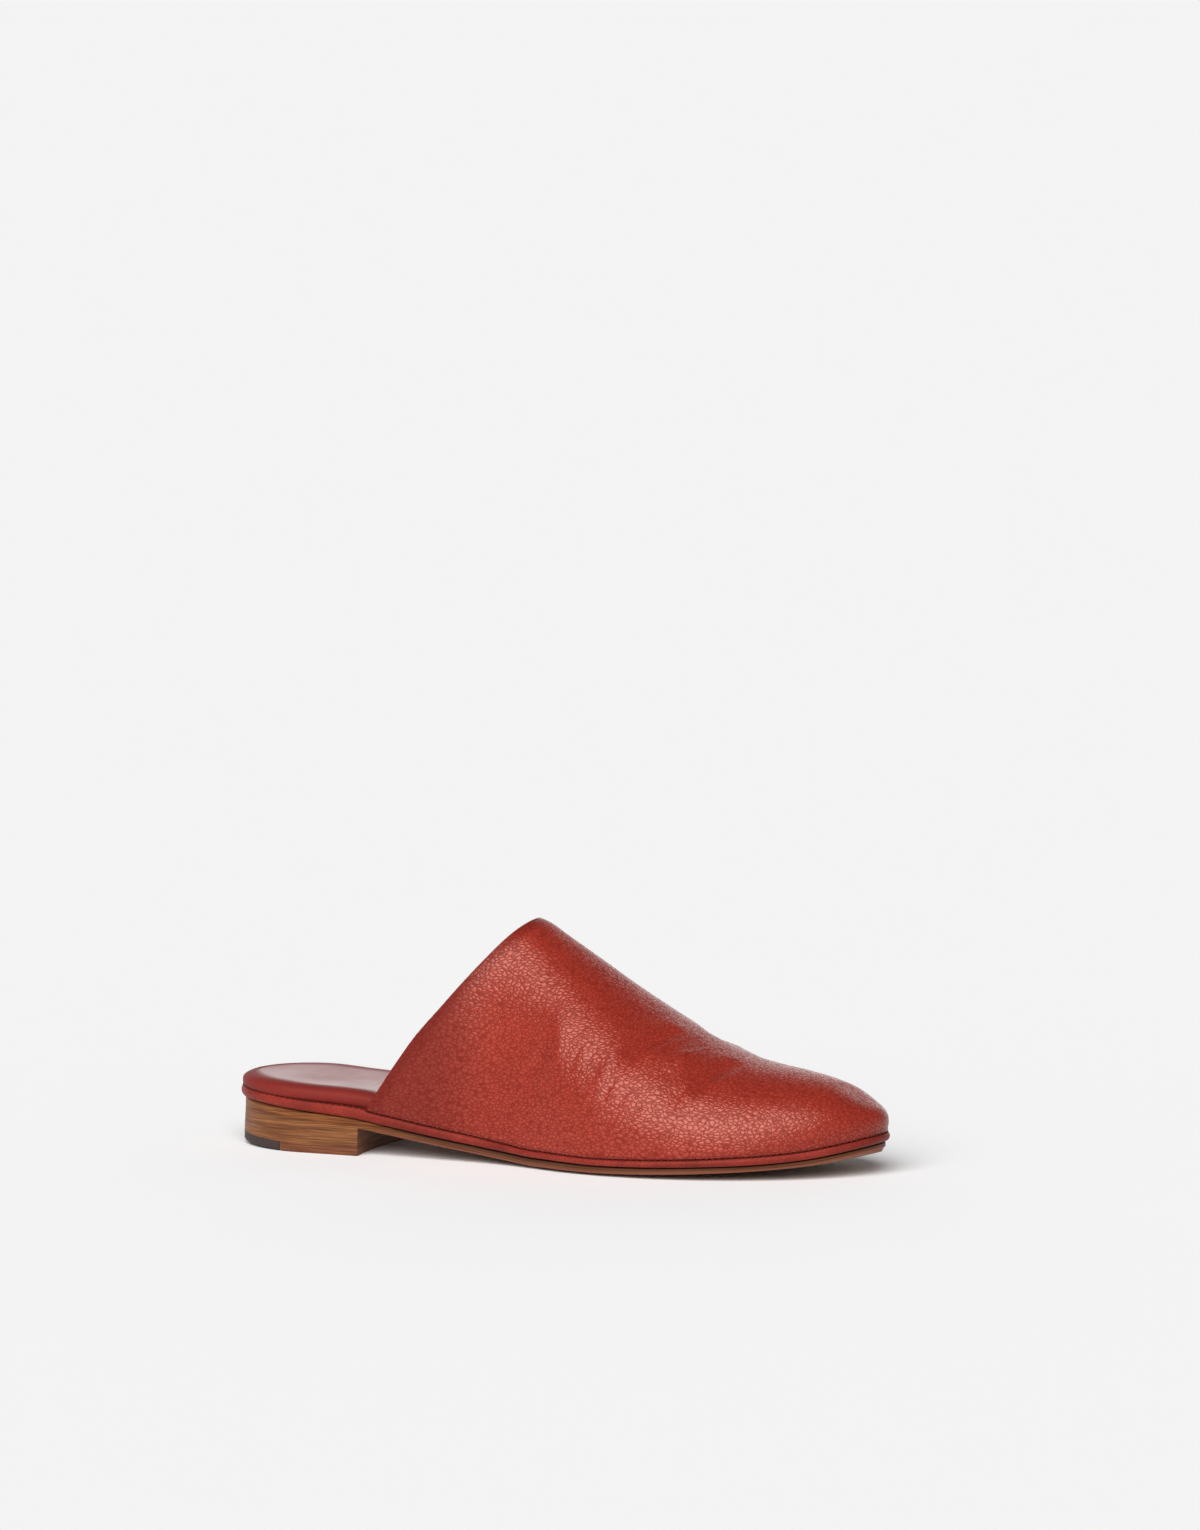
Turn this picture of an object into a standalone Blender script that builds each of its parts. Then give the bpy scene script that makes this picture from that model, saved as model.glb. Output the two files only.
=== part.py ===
"""Backless leather slipper, right shoe, standing empty on its sole.

Metres, +Z up.  While it is modelled the back of the heel is at X = 0, the toe
points to +X and the inner side of the foot is at +Y.  Every piece hangs on one
empty, which puts the origin under the middle of the finished shoe.
"""

import math

import bmesh
import bpy
from mathutils import Vector

# Plan of the rand, the red band that runs round the shoe
LENGTH = 0.2566
BALL_HALF_WIDTH = 0.0425
TOE_OFFSET = 0.0060
HEEL_ROUNDNESS = 0.0185
TOE_ROUNDNESS = 0.0210

# Heights of the bottom
HEEL_RISE = 0.0147
TOE_SPRING = 0.0088
OUTSOLE_THICKNESS = 0.0042
OUTSOLE_CROWN = 0.0011
OUTSOLE_INSET = 0.0016
OUTSOLE_BEVEL = 0.0005
RAND_HEIGHT = 0.0045
RAND_BULGE = 0.0012

# Heel
BREAST_X = 0.0585
BREAST_HOLLOW = 0.0025
HEEL_INSET = 0.0018
HEEL_FLARE = 0.0005
TOPLIFT_THICKNESS = 0.0032
RUBBER_LENGTH = 0.0256
HEEL_BACK_LIFT = 0.0017
HEEL_FLAT_LENGTH = 0.0225
HEEL_FLAT_X = BREAST_X - HEEL_FLAT_LENGTH

# Insole
INSOLE_THICKNESS = 0.0050
INSOLE_INSET = 0.0005
INSOLE_CLEARANCE = 0.0006
INSOLE_FULL_WIDTH_END = 0.10 * LENGTH
INSOLE_ROUNDING = 0.62
INSOLE_ROUND_STEPS = (90.0, 65.0, 42.0, 20.0, 0.0)

# Upper
WALL = 0.0018
UPPER_INSET = 0.0007
HEM = 0.0015
RIDGE_HEIGHT = 0.0891
TOP_SIDE_X = 0.0643
TOP_RIDGE_X = 0.1182
FAN_X = 0.740 * LENGTH
SPINE_END_X = 0.951 * LENGTH
RIDGE_LEAN = 0.0060

# Clearance between pieces that touch
GAP = 0.0003

# Edges that turn more than this, in degrees, are shaded sharp
SHARP_ANGLE = 40.0

# Outer side and inner side of the foot
OUTER, INNER = -1, 1

# Outline of each side, heel to toe.  Columns: name, place along (share of LENGTH),
# distance out (share of BALL_HALF_WIDTH), handle back, handle ahead (shares of LENGTH)
OUTLINE = {
    OUTER: (
        ("heel", 0.135, 0.735, 0.076, 0.117),
        ("waist", 0.400, 0.745, 0.117, 0.117),
        ("ball", 0.665, 1.020, 0.133, 0.175),
    ),
    INNER: (
        ("heel", 0.135, 0.715, 0.074, 0.117),
        ("waist", 0.420, 0.600, 0.117, 0.133),
        ("ball", 0.715, 1.000, 0.125, 0.140),
    ),
}

# Stretch of the forefoot that lies flat on the floor, as shares of LENGTH
FLAT_START, FLAT_END = 0.520, 0.605

# Underside of the outsole on its middle line.
# Columns: share of LENGTH, share of HEEL_RISE, share of TOE_SPRING
TREAD = (
    (0.000, 1.00, 0.00),
    (0.080, 0.93, 0.00),
    (0.136, 0.84, 0.00),
    (0.224, 0.71, 0.00),
    (0.273, 0.57, 0.00),
    (0.331, 0.40, 0.00),
    (0.390, 0.24, 0.00),
    (0.448, 0.10, 0.00),
    (FLAT_START, 0.00, 0.00),
    (FLAT_END, 0.00, 0.00),
    (0.680, 0.00, 0.05),
    (0.740, 0.00, 0.12),
    (0.800, 0.00, 0.21),
    (0.857, 0.00, 0.32),
    (0.916, 0.00, 0.50),
    (1.000, 0.00, 1.00),
)

# Columns: share of LENGTH, outsole (share of OUTSOLE_THICKNESS),
# crown (share of OUTSOLE_CROWN)
OUTSOLE_ROWS = (
    (0.000, 0.80, 0.00),
    (0.230, 0.80, 0.00),
    (0.300, 0.85, 0.40),
    (0.448, 0.98, 1.00),
    (0.520, 1.00, 1.00),
    (0.620, 0.90, 1.00),
    (0.740, 0.84, 1.00),
    (0.900, 0.76, 1.00),
    (1.000, 0.76, 1.00),
)

# Height of the rand behind the corner of the upper and ahead of it, where it
# steps down.  Columns: share of LENGTH, share of RAND_HEIGHT
RAND_HEEL = (
    (0.000, 0.82),
    (0.060, 0.80),
    (0.140, 0.86),
    (0.240, 0.95),
)
RAND_FORE = (
    (0.260, 0.80),
    (0.331, 0.76),
    (0.390, 0.72),
    (0.448, 0.66),
    (0.510, 0.55),
    (0.620, 0.53),
    (0.740, 0.58),
    (0.857, 0.64),
    (1.000, 0.67),
)
STEP_LENGTH = 0.0020

# Rounded edge of the rand, from its top down.  Columns: inset (share of
# RAND_BULGE), share of the height
RAND_EDGE = (
    (1.00, 0.00),
    (0.25, 0.18),
    (0.00, 0.45),
    (0.25, 0.80),
    (1.00, 1.00),
)

# Place of the outsole's bevel, as a share of the way down its edge
BEVEL_START = 0.7

# Ridge of the upper.  Columns: share of the way from TOP_RIDGE_X to LENGTH,
# share of RIDGE_HEIGHT.  The first row only leads the sections behind the ridge.
RIDGE = (
    (-0.865, 1.640),
    (0.000, 1.000),
    (0.034, 0.972),
    (0.077, 0.929),
    (0.198, 0.807),
    (0.310, 0.693),
    (0.422, 0.588),
    (0.534, 0.500),
    (0.646, 0.442),
    (0.758, 0.412),
    (0.851, 0.378),
    (0.916, 0.323),
)

# Shape of the cross sections.  Columns: share of LENGTH, lean of the side
# outwards in degrees, height of the side (share of the section's height),
# flatness of the top (share of the section's half width)
SECTIONS = (
    (0.00, -5.0, 0.56, 0.66),
    (0.47, -3.0, 0.57, 0.66),
    (0.66, 4.0, 0.56, 0.60),
    (0.85, 8.0, 0.60, 0.60),
    (1.00, 8.0, 0.62, 0.75),
)

# Topline seen from the side.  Columns: share of the height from the rand to
# the ridge, share of the way from TOP_SIDE_X to TOP_RIDGE_X
TOPLINE = (
    (0.000, 0.000),
    (0.062, 0.033),
    (0.227, 0.162),
    (0.384, 0.301),
    (0.536, 0.477),
    (0.677, 0.631),
    (0.809, 0.778),
    (0.932, 0.915),
    (1.000, 1.000),
)

# Top of the insole above the rand's underside.  Columns: share of LENGTH, share
# of INSOLE_THICKNESS
INSOLE_TOP = (
    (0.00, 1.68),
    (0.07, 1.78),
    (0.14, 1.88),
    (0.24, 2.02),
    (0.30, 1.90),
    (0.45, 1.45),
    (0.60, 1.09),
    (1.00, 1.16),
)

# Mesh steps
OUTLINE_STEPS = 60
SOLE_ACROSS = 8
HEEL_BACK_STATIONS = 11
HEEL_FRONT_STATIONS = 5
RUBBER_STATIONS = 8
LIFT_STATIONS = 3
UPPER_STATIONS = 40
UPPER_AROUND = 15
SOLE_STRETCHES = (
    (0.0, TOP_SIDE_X - STEP_LENGTH, 13),
    (TOP_SIDE_X - STEP_LENGTH, TOP_SIDE_X, 1),
    (TOP_SIDE_X, FLAT_START * LENGTH, 10),
    (FLAT_START * LENGTH, FLAT_END * LENGTH, 3),
    (FLAT_END * LENGTH, LENGTH, 19),
)


def follow(rows, place, column=1):
    """Value of a table's column at a place, along a smooth monotone curve."""
    places = [row[0] for row in rows]
    values = [row[column] for row in rows]
    if place <= places[0]:
        return values[0]
    if place >= places[-1]:
        return values[-1]
    steps = [b - a for a, b in zip(places, places[1:])]
    slopes = [(b - a) / step for a, b, step in zip(values, values[1:], steps)]
    tangents = [slopes[0]]
    for before, after, left, right in zip(steps, steps[1:], slopes, slopes[1:]):
        if left * right <= 0.0:
            tangents.append(0.0)
        else:
            near, far = 2 * after + before, after + 2 * before
            tangents.append((near + far) / (near / left + far / right))
    tangents.append(slopes[-1])
    i = max(k for k in range(len(steps)) if places[k] <= place)
    t = (place - places[i]) / steps[i]
    start = (1 + 2 * t) * (1 - t) ** 2 * values[i]
    end = t * t * (3 - 2 * t) * values[i + 1]
    leave = t * (1 - t) ** 2 * steps[i] * tangents[i]
    arrive = t * t * (t - 1) * steps[i] * tangents[i + 1]
    return start + end + leave + arrive


def bezier(a, b, c, d, t):
    """Point of a cubic curve."""
    u = 1.0 - t
    return a * u ** 3 + b * (3 * u * u * t) + c * (3 * u * t * t) + d * t ** 3


class Side:
    """One side of the rand's outline, measured along its own length."""

    def __init__(self, side):
        self.side = side
        at = Vector((0.0, 0.0))
        handle = Vector((0.0, side * HEEL_ROUNDNESS))
        self.points = [at]
        for _, along, out, back, ahead in OUTLINE[side]:
            to = Vector((along * LENGTH, side * out * BALL_HALF_WIDTH))
            reach = Vector((back * LENGTH, 0.0))
            self.add(at, handle, to - reach, to)
            at = to
            handle = to + Vector((ahead * LENGTH, 0.0))
        tip = Vector((LENGTH, TOE_OFFSET))
        self.add(at, handle, tip + Vector((0.0, side * TOE_ROUNDNESS)), tip)
        self.lengths = [0.0]
        for a, b in zip(self.points, self.points[1:]):
            self.lengths.append(self.lengths[-1] + (b - a).length)

    def add(self, a, b, c, d):
        for i in range(1, OUTLINE_STEPS + 1):
            self.points.append(bezier(a, b, c, d, i / OUTLINE_STEPS))

    def length_to(self, x):
        """Length of the outline from the heel's back to a place x."""
        if x >= LENGTH:
            return self.lengths[-1]
        for a, b, start in zip(self.points, self.points[1:], self.lengths):
            if a.x <= x < b.x:
                return start + (b - a).length * (x - a.x) / (b.x - a.x)
        return 0.0

    def at(self, length):
        """Point and outward direction at a length from the heel's back."""
        i = 0
        while i < len(self.lengths) - 2 and self.lengths[i + 1] < length:
            i += 1
        share = (length - self.lengths[i]) / (self.lengths[i + 1] - self.lengths[i])
        point = self.points[i].lerp(self.points[i + 1], share)
        before = self.tangent(i)
        after = self.tangent(i + 1)
        ahead = before.lerp(after, share).normalized()
        return point, Vector((-ahead.y, ahead.x)) * self.side

    def tangent(self, i):
        if i == 0:
            return Vector((0.0, float(self.side)))
        if i >= len(self.points) - 1:
            return Vector((0.0, -float(self.side)))
        return (self.points[i + 1] - self.points[i - 1]).normalized()


SIDE = {side: Side(side) for side in (OUTER, INNER)}


def tread(x):
    """Height of the outsole's underside on its middle line."""
    share = x / LENGTH
    return follow(TREAD, share) * HEEL_RISE + follow(TREAD, share, 2) * TOE_SPRING


def outsole_top(x):
    return tread(x) + follow(OUTSOLE_ROWS, x / LENGTH) * OUTSOLE_THICKNESS


def rand_bottom(x):
    return outsole_top(x) + GAP


def rand_top(x):
    """Top of the rand, with the step down at the corner of the upper."""
    done = (x - TOP_SIDE_X) / STEP_LENGTH + 1.0
    done = min(max(done, 0.0), 1.0)
    blend = done * done * (3 - 2 * done)
    behind = follow(RAND_HEEL, x / LENGTH)
    ahead = follow(RAND_FORE, x / LENGTH)
    return rand_bottom(x) + RAND_HEIGHT * (behind + (ahead - behind) * blend)


def ridge_height(x):
    share = (x - TOP_RIDGE_X) / (LENGTH - TOP_RIDGE_X)
    return follow(RIDGE, share) * RIDGE_HEIGHT


def ridge_slope(x):
    step = 0.0001 * LENGTH
    return (ridge_height(x + step) - ridge_height(x - step)) / (2.0 * step)


def heel_bottom(x):
    """Underside of the heel, flat at its front and lifted a little at its back."""
    return HEEL_BACK_LIFT * max(HEEL_FLAT_X - x, 0.0) / HEEL_FLAT_X


def across_crown(across):
    """Rise of the outsole towards its edge, flat over the middle half."""
    return max(abs(across) * 2.0 - 1.0, 0.0) ** 2


def new_object(name, bm, material):
    """Object from a bmesh, in the shoe's collection and on its empty."""
    mesh = bpy.data.meshes.new(name)
    bm.to_mesh(mesh)
    bm.free()
    mesh.materials.append(material)
    mesh.shade_smooth()
    mesh.set_sharp_from_angle(angle=math.radians(SHARP_ANGLE))
    piece = bpy.data.objects.new(name, mesh)
    collection.objects.link(piece)
    piece.parent = root
    return piece


def new_material(name, colour, roughness):
    """Plain surface; the colour is linear."""
    material = bpy.data.materials.new(name)
    material.use_nodes = True
    shader = material.node_tree.nodes["Principled BSDF"]
    shader.inputs["Base Color"].default_value = (*colour, 1.0)
    shader.inputs["Roughness"].default_value = roughness
    shader.inputs["Metallic"].default_value = 0.0
    return material


def edge_stations(stretches):
    """Matching edge points of both sides, each with its share of the last stretch.

    The share is 0 along the stretches before that one.  A stretch runs between two
    places x in a number of steps, closer together at the heel's and the toe's round.
    """
    for start, end, count in stretches:
        for i in range(0 if start == stretches[0][0] else 1, count + 1):
            share = i / count
            if start <= 0.0:
                share = 1.0 - math.cos(math.pi * share / 2.0)
            elif end >= LENGTH:
                share = math.sin(math.pi * share / 2.0)
            edge = {}
            for side, outline in SIDE.items():
                first, last = outline.length_to(start), outline.length_to(end)
                edge[side] = outline.at(first + (last - first) * share)
            yield edge, share if end == stretches[-1][1] else 0.0


def plate(name, material, stretches, rows, top, bottom, hollow=0.0, inset_at=None):
    """Solid that follows the outline along its stretches.

    rows run down the edge, each an inset and the share of the thickness below
    the top.  top and bottom give heights from x and the place across, -1 to 1.
    hollow pulls the middle of the front face back.
    """
    bm = bmesh.new()
    start, end = stretches[0][0], stretches[-1][1]
    across = [2.0 * i / SOLE_ACROSS - 1.0 for i in range(SOLE_ACROSS + 1)]
    loops = []
    for edge, share in edge_stations(stretches):

        def rim(side, row):
            point, out = edge[side]
            extra = inset_at(point.x) if inset_at else 0.0
            return point - out * (row[0] + extra)

        def height(place, share_down, w):
            high, low = top(place.x, w), bottom(place.x, w)
            return high + (low - high) * share_down

        def lay(row, steps):
            left, right = rim(OUTER, row), rim(INNER, row)
            for w in steps:
                place = left.lerp(right, (w + 1.0) / 2.0)
                z = height(place, row[1], w)
                pull = hollow * (1.0 - w * w) * share
                yield Vector((place.x - pull, place.y, z))

        loop = list(lay(rows[0], across))
        for row in rows[1:-1]:
            loop += list(lay(row, [1.0]))
        loop += list(lay(rows[-1], reversed(across)))
        for row in reversed(rows[1:-1]):
            loop += list(lay(row, [-1.0]))
        loops.append([bm.verts.new(p) for p in loop])
    for near, far in zip(loops, loops[1:]):
        for k in range(len(near)):
            n = (k + 1) % len(near)
            bm.faces.new((near[k], near[n], far[n], far[k]))
    if start > 0.0:
        close_end(bm, loops[0], len(rows), flip=True)
    if end < LENGTH:
        close_end(bm, loops[-1], len(rows), flip=False)
    bmesh.ops.remove_doubles(bm, verts=bm.verts, dist=1e-6)
    bmesh.ops.recalc_face_normals(bm, faces=bm.faces)
    return new_object(name, bm, material)


def close_end(bm, loop, row_count, flip):
    """Cut face of a plate: strips between its top and its bottom."""
    count = SOLE_ACROSS + 1
    sides = row_count - 2
    top = loop[:count]
    right = loop[count:count + sides]
    bottom = list(reversed(loop[count + sides:2 * count + sides]))
    left = list(reversed(loop[2 * count + sides:]))
    strips = []
    for i in range(SOLE_ACROSS):
        ring = [top[i], top[i + 1]]
        if i == SOLE_ACROSS - 1:
            ring += right
        ring += [bottom[i + 1], bottom[i]]
        if i == 0:
            ring += reversed(left)
        strips.append(ring)
    for ring in strips:
        bm.faces.new(ring if flip else list(reversed(ring)))


def make_outsole(material):
    rows = (
        (OUTSOLE_INSET, 0.0),
        (OUTSOLE_INSET, BEVEL_START),
        (OUTSOLE_INSET + OUTSOLE_BEVEL, 1.0),
    )

    def bottom(x, w):
        crown = follow(OUTSOLE_ROWS, x / LENGTH, 2) * OUTSOLE_CROWN
        return tread(x) + crown * across_crown(w)

    plate("outsole", material, SOLE_STRETCHES, rows, lambda x, w: outsole_top(x), bottom)


def make_midsole(material):
    rows = [(RAND_BULGE * inset, down) for inset, down in RAND_EDGE]
    plate(
        "midsole", material, SOLE_STRETCHES, rows,
        lambda x, w: rand_top(x), lambda x, w: rand_bottom(x),
    )


def insole_inset(x):
    """Inset of the insole, which narrows to pass inside the upper."""
    inside = UPPER_INSET + WALL + INSOLE_CLEARANCE
    rows = ((INSOLE_FULL_WIDTH_END, 0.0), (TOP_SIDE_X - STEP_LENGTH, 1.0))
    return INSOLE_INSET + (inside - INSOLE_INSET) * follow(rows, x)


def make_insole(material):
    radius = INSOLE_THICKNESS * INSOLE_ROUNDING
    rows = []
    for degrees in INSOLE_ROUND_STEPS:
        turn = math.radians(degrees)
        inset = radius * (1.0 - math.cos(turn))
        rows.append((inset, (1.0 - math.sin(turn)) * INSOLE_ROUNDING))
    rows.append((0.0, 1.0))

    def bottom(x, w):
        return rand_top(x) + GAP

    def top(x, w):
        return rand_bottom(x) + INSOLE_THICKNESS * follow(INSOLE_TOP, x / LENGTH)

    plate("insole", material, SOLE_STRETCHES, rows, top, bottom, inset_at=insole_inset)


def make_heel(leather, rubber):
    """Stacked block, and below it the rubber back and the leather front of the top lift."""
    flared = HEEL_INSET - HEEL_FLARE
    front = (HEEL_FLAT_X, BREAST_X, HEEL_FRONT_STATIONS)

    def lift_bottom(x, w):
        return heel_bottom(x)

    def lift_top(x, w):
        return heel_bottom(x) + TOPLIFT_THICKNESS

    plate(
        "heel_block", leather, [(0.0, HEEL_FLAT_X, HEEL_BACK_STATIONS), front],
        ((HEEL_INSET, 0.0), ((HEEL_INSET + flared) / 2.0, 0.5), (flared, 1.0)),
        lambda x, w: tread(x) - GAP, lambda x, w: lift_top(x, w) + GAP, hollow=BREAST_HOLLOW,
    )
    rows = ((flared, 0.0), (flared, 0.5), (flared, 1.0))
    plate(
        "toplift_rubber", rubber, [(0.0, RUBBER_LENGTH, RUBBER_STATIONS)], rows,
        lift_top, lift_bottom,
    )
    plate(
        "toplift_leather", leather, [(RUBBER_LENGTH + GAP, HEEL_FLAT_X, LIFT_STATIONS), front],
        rows, lift_top, lift_bottom, hollow=BREAST_HOLLOW,
    )


class Last:
    """Outer face of the upper, spread over the last in stations and girths.

    A station is a cross section up to FAN_X.  From there the sections turn
    about the end of the ridge until both sides meet at the toe's middle line.
    """

    def __init__(self):
        self.fan = sum(s.lengths[-1] - s.length_to(FAN_X) for s in SIDE.values()) / 2.0
        self.power = self.fan / (SPINE_END_X - FAN_X)
        self.end = FAN_X + self.fan

    def foot(self, side, station):
        """Feather edge: its point on the rand's top and its outward direction."""
        outline = SIDE[side]
        start = outline.length_to(FAN_X)
        if station <= FAN_X:
            point, out = outline.at(outline.length_to(station))
        else:
            reach = outline.lengths[-1] - start
            straight = abs(outline.at(start)[1].y)
            k = (station - FAN_X) / self.fan
            bias = self.fan / (reach * straight) - 1.0
            point, out = outline.at(start + reach * (k + bias * k * (1.0 - k)))
        point = point - out * UPPER_INSET
        return Vector((point.x, point.y, rand_top(point.x) + GAP)), Vector((out.x, out.y, 0.0))

    def ridge(self, station):
        x = station
        if station > FAN_X:
            k = min((station - FAN_X) / self.fan, 1.0)
            x = FAN_X + (SPINE_END_X - FAN_X) * (1.0 - (1.0 - k) ** self.power)
        return Vector((x, RIDGE_LEAN * x / SPINE_END_X, ridge_height(x)))

    def point(self, side, station, girth):
        """Point at a share of the girth, 0 at the hem's top and 1 at the ridge."""
        foot, out = self.foot(side, station)
        foot.z += HEM
        ridge = self.ridge(station)
        share = foot.x / LENGTH
        lean = math.radians(follow(SECTIONS, share, 1))
        rise = (ridge.z - foot.z) * follow(SECTIONS, share, 2)
        flat = foot - ridge
        flat.z = 0.0
        half = flat.length
        flat.normalize()
        flat.z = flat.x * ridge_slope(ridge.x)
        wall = foot + (out * math.sin(lean) + Vector((0.0, 0.0, math.cos(lean)))) * rise
        crown = ridge + flat * (half * follow(SECTIONS, share, 3))
        return bezier(foot, wall, crown, ridge, girth)

    def top_station(self, side, girth):
        """Station where a girth line meets the topline, found by halving."""
        low = rand_top(TOP_SIDE_X) + GAP + HEM
        near, far = TOP_SIDE_X, TOP_RIDGE_X
        for _ in range(30):
            middle = (near + far) / 2.0
            place = self.point(side, middle, girth)
            share = (place.z - low) / (RIDGE_HEIGHT - low)
            line = TOP_SIDE_X + (TOP_RIDGE_X - TOP_SIDE_X) * follow(TOPLINE, share)
            if place.x < line:
                near = middle
            else:
                far = middle
        return far


def make_upper(material):
    """Hollow upper: a grid laid over the last, closed at the toe, then given its wall."""
    last = Last()
    bm = bmesh.new()
    columns = 2 * (UPPER_AROUND + 1)
    bmesh.ops.create_grid(bm, x_segments=UPPER_STATIONS, y_segments=columns, size=1.0)
    girths = [i / UPPER_AROUND for i in range(UPPER_AROUND + 1)]
    starts = {(side, girth): last.top_station(side, girth) for side in SIDE for girth in girths}
    for vert in bm.verts:
        along = (vert.co.x + 1.0) / 2.0
        column = round((vert.co.y + 1.0) / 2.0 * columns)
        side = OUTER if column <= UPPER_AROUND else INNER
        inward = min(column, columns - column)
        girth = girths[max(inward - 1, 0)]
        start = starts[side, girth]
        station = start + (last.end - start) * along
        if inward == 0:
            vert.co = last.foot(side, station)[0]
        else:
            vert.co = last.point(side, station, girth)
    bmesh.ops.remove_doubles(bm, verts=bm.verts, dist=1e-6)
    bmesh.ops.recalc_face_normals(bm, faces=bm.faces)
    highest = max(bm.faces, key=lambda face: face.calc_center_median().z)
    if highest.normal.z < 0.0:
        bmesh.ops.reverse_faces(bm, faces=bm.faces)
    upper = new_object("upper", bm, material)
    wall = upper.modifiers.new("wall", "SOLIDIFY")
    wall.thickness = WALL
    wall.offset = -1.0
    wall.use_even_offset = True
    wall.use_rim = True


def stand_on_origin():
    """Move the empty so that the origin is under the middle of the shoe."""
    graph = bpy.context.evaluated_depsgraph_get()
    corners = []
    for piece in collection.objects:
        if piece.type == "MESH":
            mesh = piece.evaluated_get(graph).data
            corners += [piece.matrix_world @ vertex.co for vertex in mesh.vertices]
    low = Vector([min(c[i] for c in corners) for i in range(3)])
    high = Vector([max(c[i] for c in corners) for i in range(3)])
    root.location = (-(low.x + high.x) / 2.0, -(low.y + high.y) / 2.0, -low.z)


for old in list(bpy.data.objects):
    bpy.data.objects.remove(old)

collection = bpy.data.collections.new("backless_slipper")
bpy.context.scene.collection.children.link(collection)
root = bpy.data.objects.new("slipper_root", None)
collection.objects.link(root)

red_leather = new_material("red_leather", (0.40, 0.037, 0.026), 0.45)
red_edge = new_material("red_edge_leather", (0.36, 0.028, 0.020), 0.50)
insole_leather = new_material("insole_leather", (0.38, 0.040, 0.032), 0.35)
sole_leather = new_material("sole_leather", (0.10, 0.045, 0.025), 0.55)
stacked_leather = new_material("stacked_leather", (0.22, 0.11, 0.055), 0.55)
brown_rubber = new_material("brown_rubber", (0.065, 0.040, 0.032), 0.70)

make_outsole(sole_leather)
make_midsole(red_edge)
make_insole(insole_leather)
make_heel(stacked_leather, brown_rubber)
make_upper(red_leather)
stand_on_origin()
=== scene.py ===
# %% [markdown]
# This lesson dresses a backless leather slipper, the right shoe of a pair, for a studio
# picture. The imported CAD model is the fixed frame: it holds every size. The cells below lay
# finer surfaces over it, one for each piece that a shoemaker would cut, and give each one the
# finish of the real material. Everything is in metres, the toe points to +X, the inner side
# of the foot is at +Y and the floor is at Z = 0.

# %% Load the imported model
import math

import bmesh
import bpy
import numpy as np
from mathutils import Matrix, Vector, noise


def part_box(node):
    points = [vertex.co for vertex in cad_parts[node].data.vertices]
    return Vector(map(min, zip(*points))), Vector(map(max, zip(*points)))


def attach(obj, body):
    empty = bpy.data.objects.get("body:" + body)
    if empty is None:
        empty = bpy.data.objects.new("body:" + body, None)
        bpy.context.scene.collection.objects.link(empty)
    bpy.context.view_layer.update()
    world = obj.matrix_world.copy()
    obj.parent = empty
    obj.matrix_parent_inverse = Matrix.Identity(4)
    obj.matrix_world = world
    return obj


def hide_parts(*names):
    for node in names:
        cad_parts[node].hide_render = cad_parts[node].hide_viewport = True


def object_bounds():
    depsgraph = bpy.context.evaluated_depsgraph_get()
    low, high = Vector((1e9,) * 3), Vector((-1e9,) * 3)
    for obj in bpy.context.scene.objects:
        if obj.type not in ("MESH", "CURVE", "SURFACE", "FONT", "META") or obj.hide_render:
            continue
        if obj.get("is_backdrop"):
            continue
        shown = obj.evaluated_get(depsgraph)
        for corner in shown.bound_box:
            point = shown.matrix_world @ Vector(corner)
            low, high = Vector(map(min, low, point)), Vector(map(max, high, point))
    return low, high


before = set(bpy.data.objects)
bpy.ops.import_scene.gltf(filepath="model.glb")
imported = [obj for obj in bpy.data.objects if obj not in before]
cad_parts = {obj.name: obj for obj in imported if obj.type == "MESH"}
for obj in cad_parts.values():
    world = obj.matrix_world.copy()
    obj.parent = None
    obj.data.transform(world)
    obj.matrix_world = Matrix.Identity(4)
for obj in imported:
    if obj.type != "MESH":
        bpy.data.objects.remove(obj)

cad_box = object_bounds()
print("CAD nodes:", sorted(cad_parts))

# %% [markdown]
# Colours are easier to compare with a photograph as sRGB hex values, but Blender's shaders
# work in linear light, so one function turns the first into the second. Another adds a
# shader node with its settings and its links, and the short ones after it name the kinds of
# node that every leather here needs. Each material then reads as a list of what the eye sees.

# %% Colour and node helpers
MM = 0.001


def colour(hex_value):
    """Linear colour with alpha 1 from an sRGB hex value such as "a33a2e"."""
    parts = [int(hex_value[i:i + 2], 16) / 255.0 for i in (0, 2, 4)]
    linear = [c / 12.92 if c <= 0.04045 else ((c + 0.055) / 1.055) ** 2.4 for c in parts]
    return (*linear, 1.0)


def feed(tree, node, **inputs):
    """Give each input of a node a value, or link it to another node's output."""
    for name, value in inputs.items():
        key = int(name[1:]) if name[1:].isdigit() else name.replace("_", " ")
        if isinstance(value, bpy.types.NodeSocket):
            tree.links.new(value, node.inputs[key])
        else:
            node.inputs[key].default_value = value
    return node


def add(tree, kind, settings=None, **inputs):
    """Add a node with its settings and its inputs."""
    node = tree.nodes.new(kind)
    for name, value in (settings or {}).items():
        setattr(node, name, value)
    return feed(tree, node, **inputs)


def new_material(name):
    """Material with its node tree and its shader."""
    material = bpy.data.materials.new(name)
    material.use_nodes = True
    tree = material.node_tree
    return material, tree, tree.nodes["Principled BSDF"]


def spread(tree, value, low, high, to_low=0.0, to_high=1.0, smooth=False):
    """A value carried from one range to another and held at both ends."""
    return add(
        tree, "ShaderNodeMapRange", {"interpolation_type": "SMOOTHSTEP"} if smooth else {},
        Value=value, From_Min=low, From_Max=high, To_Min=to_low, To_Max=to_high,
    ).outputs["Result"]


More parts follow.
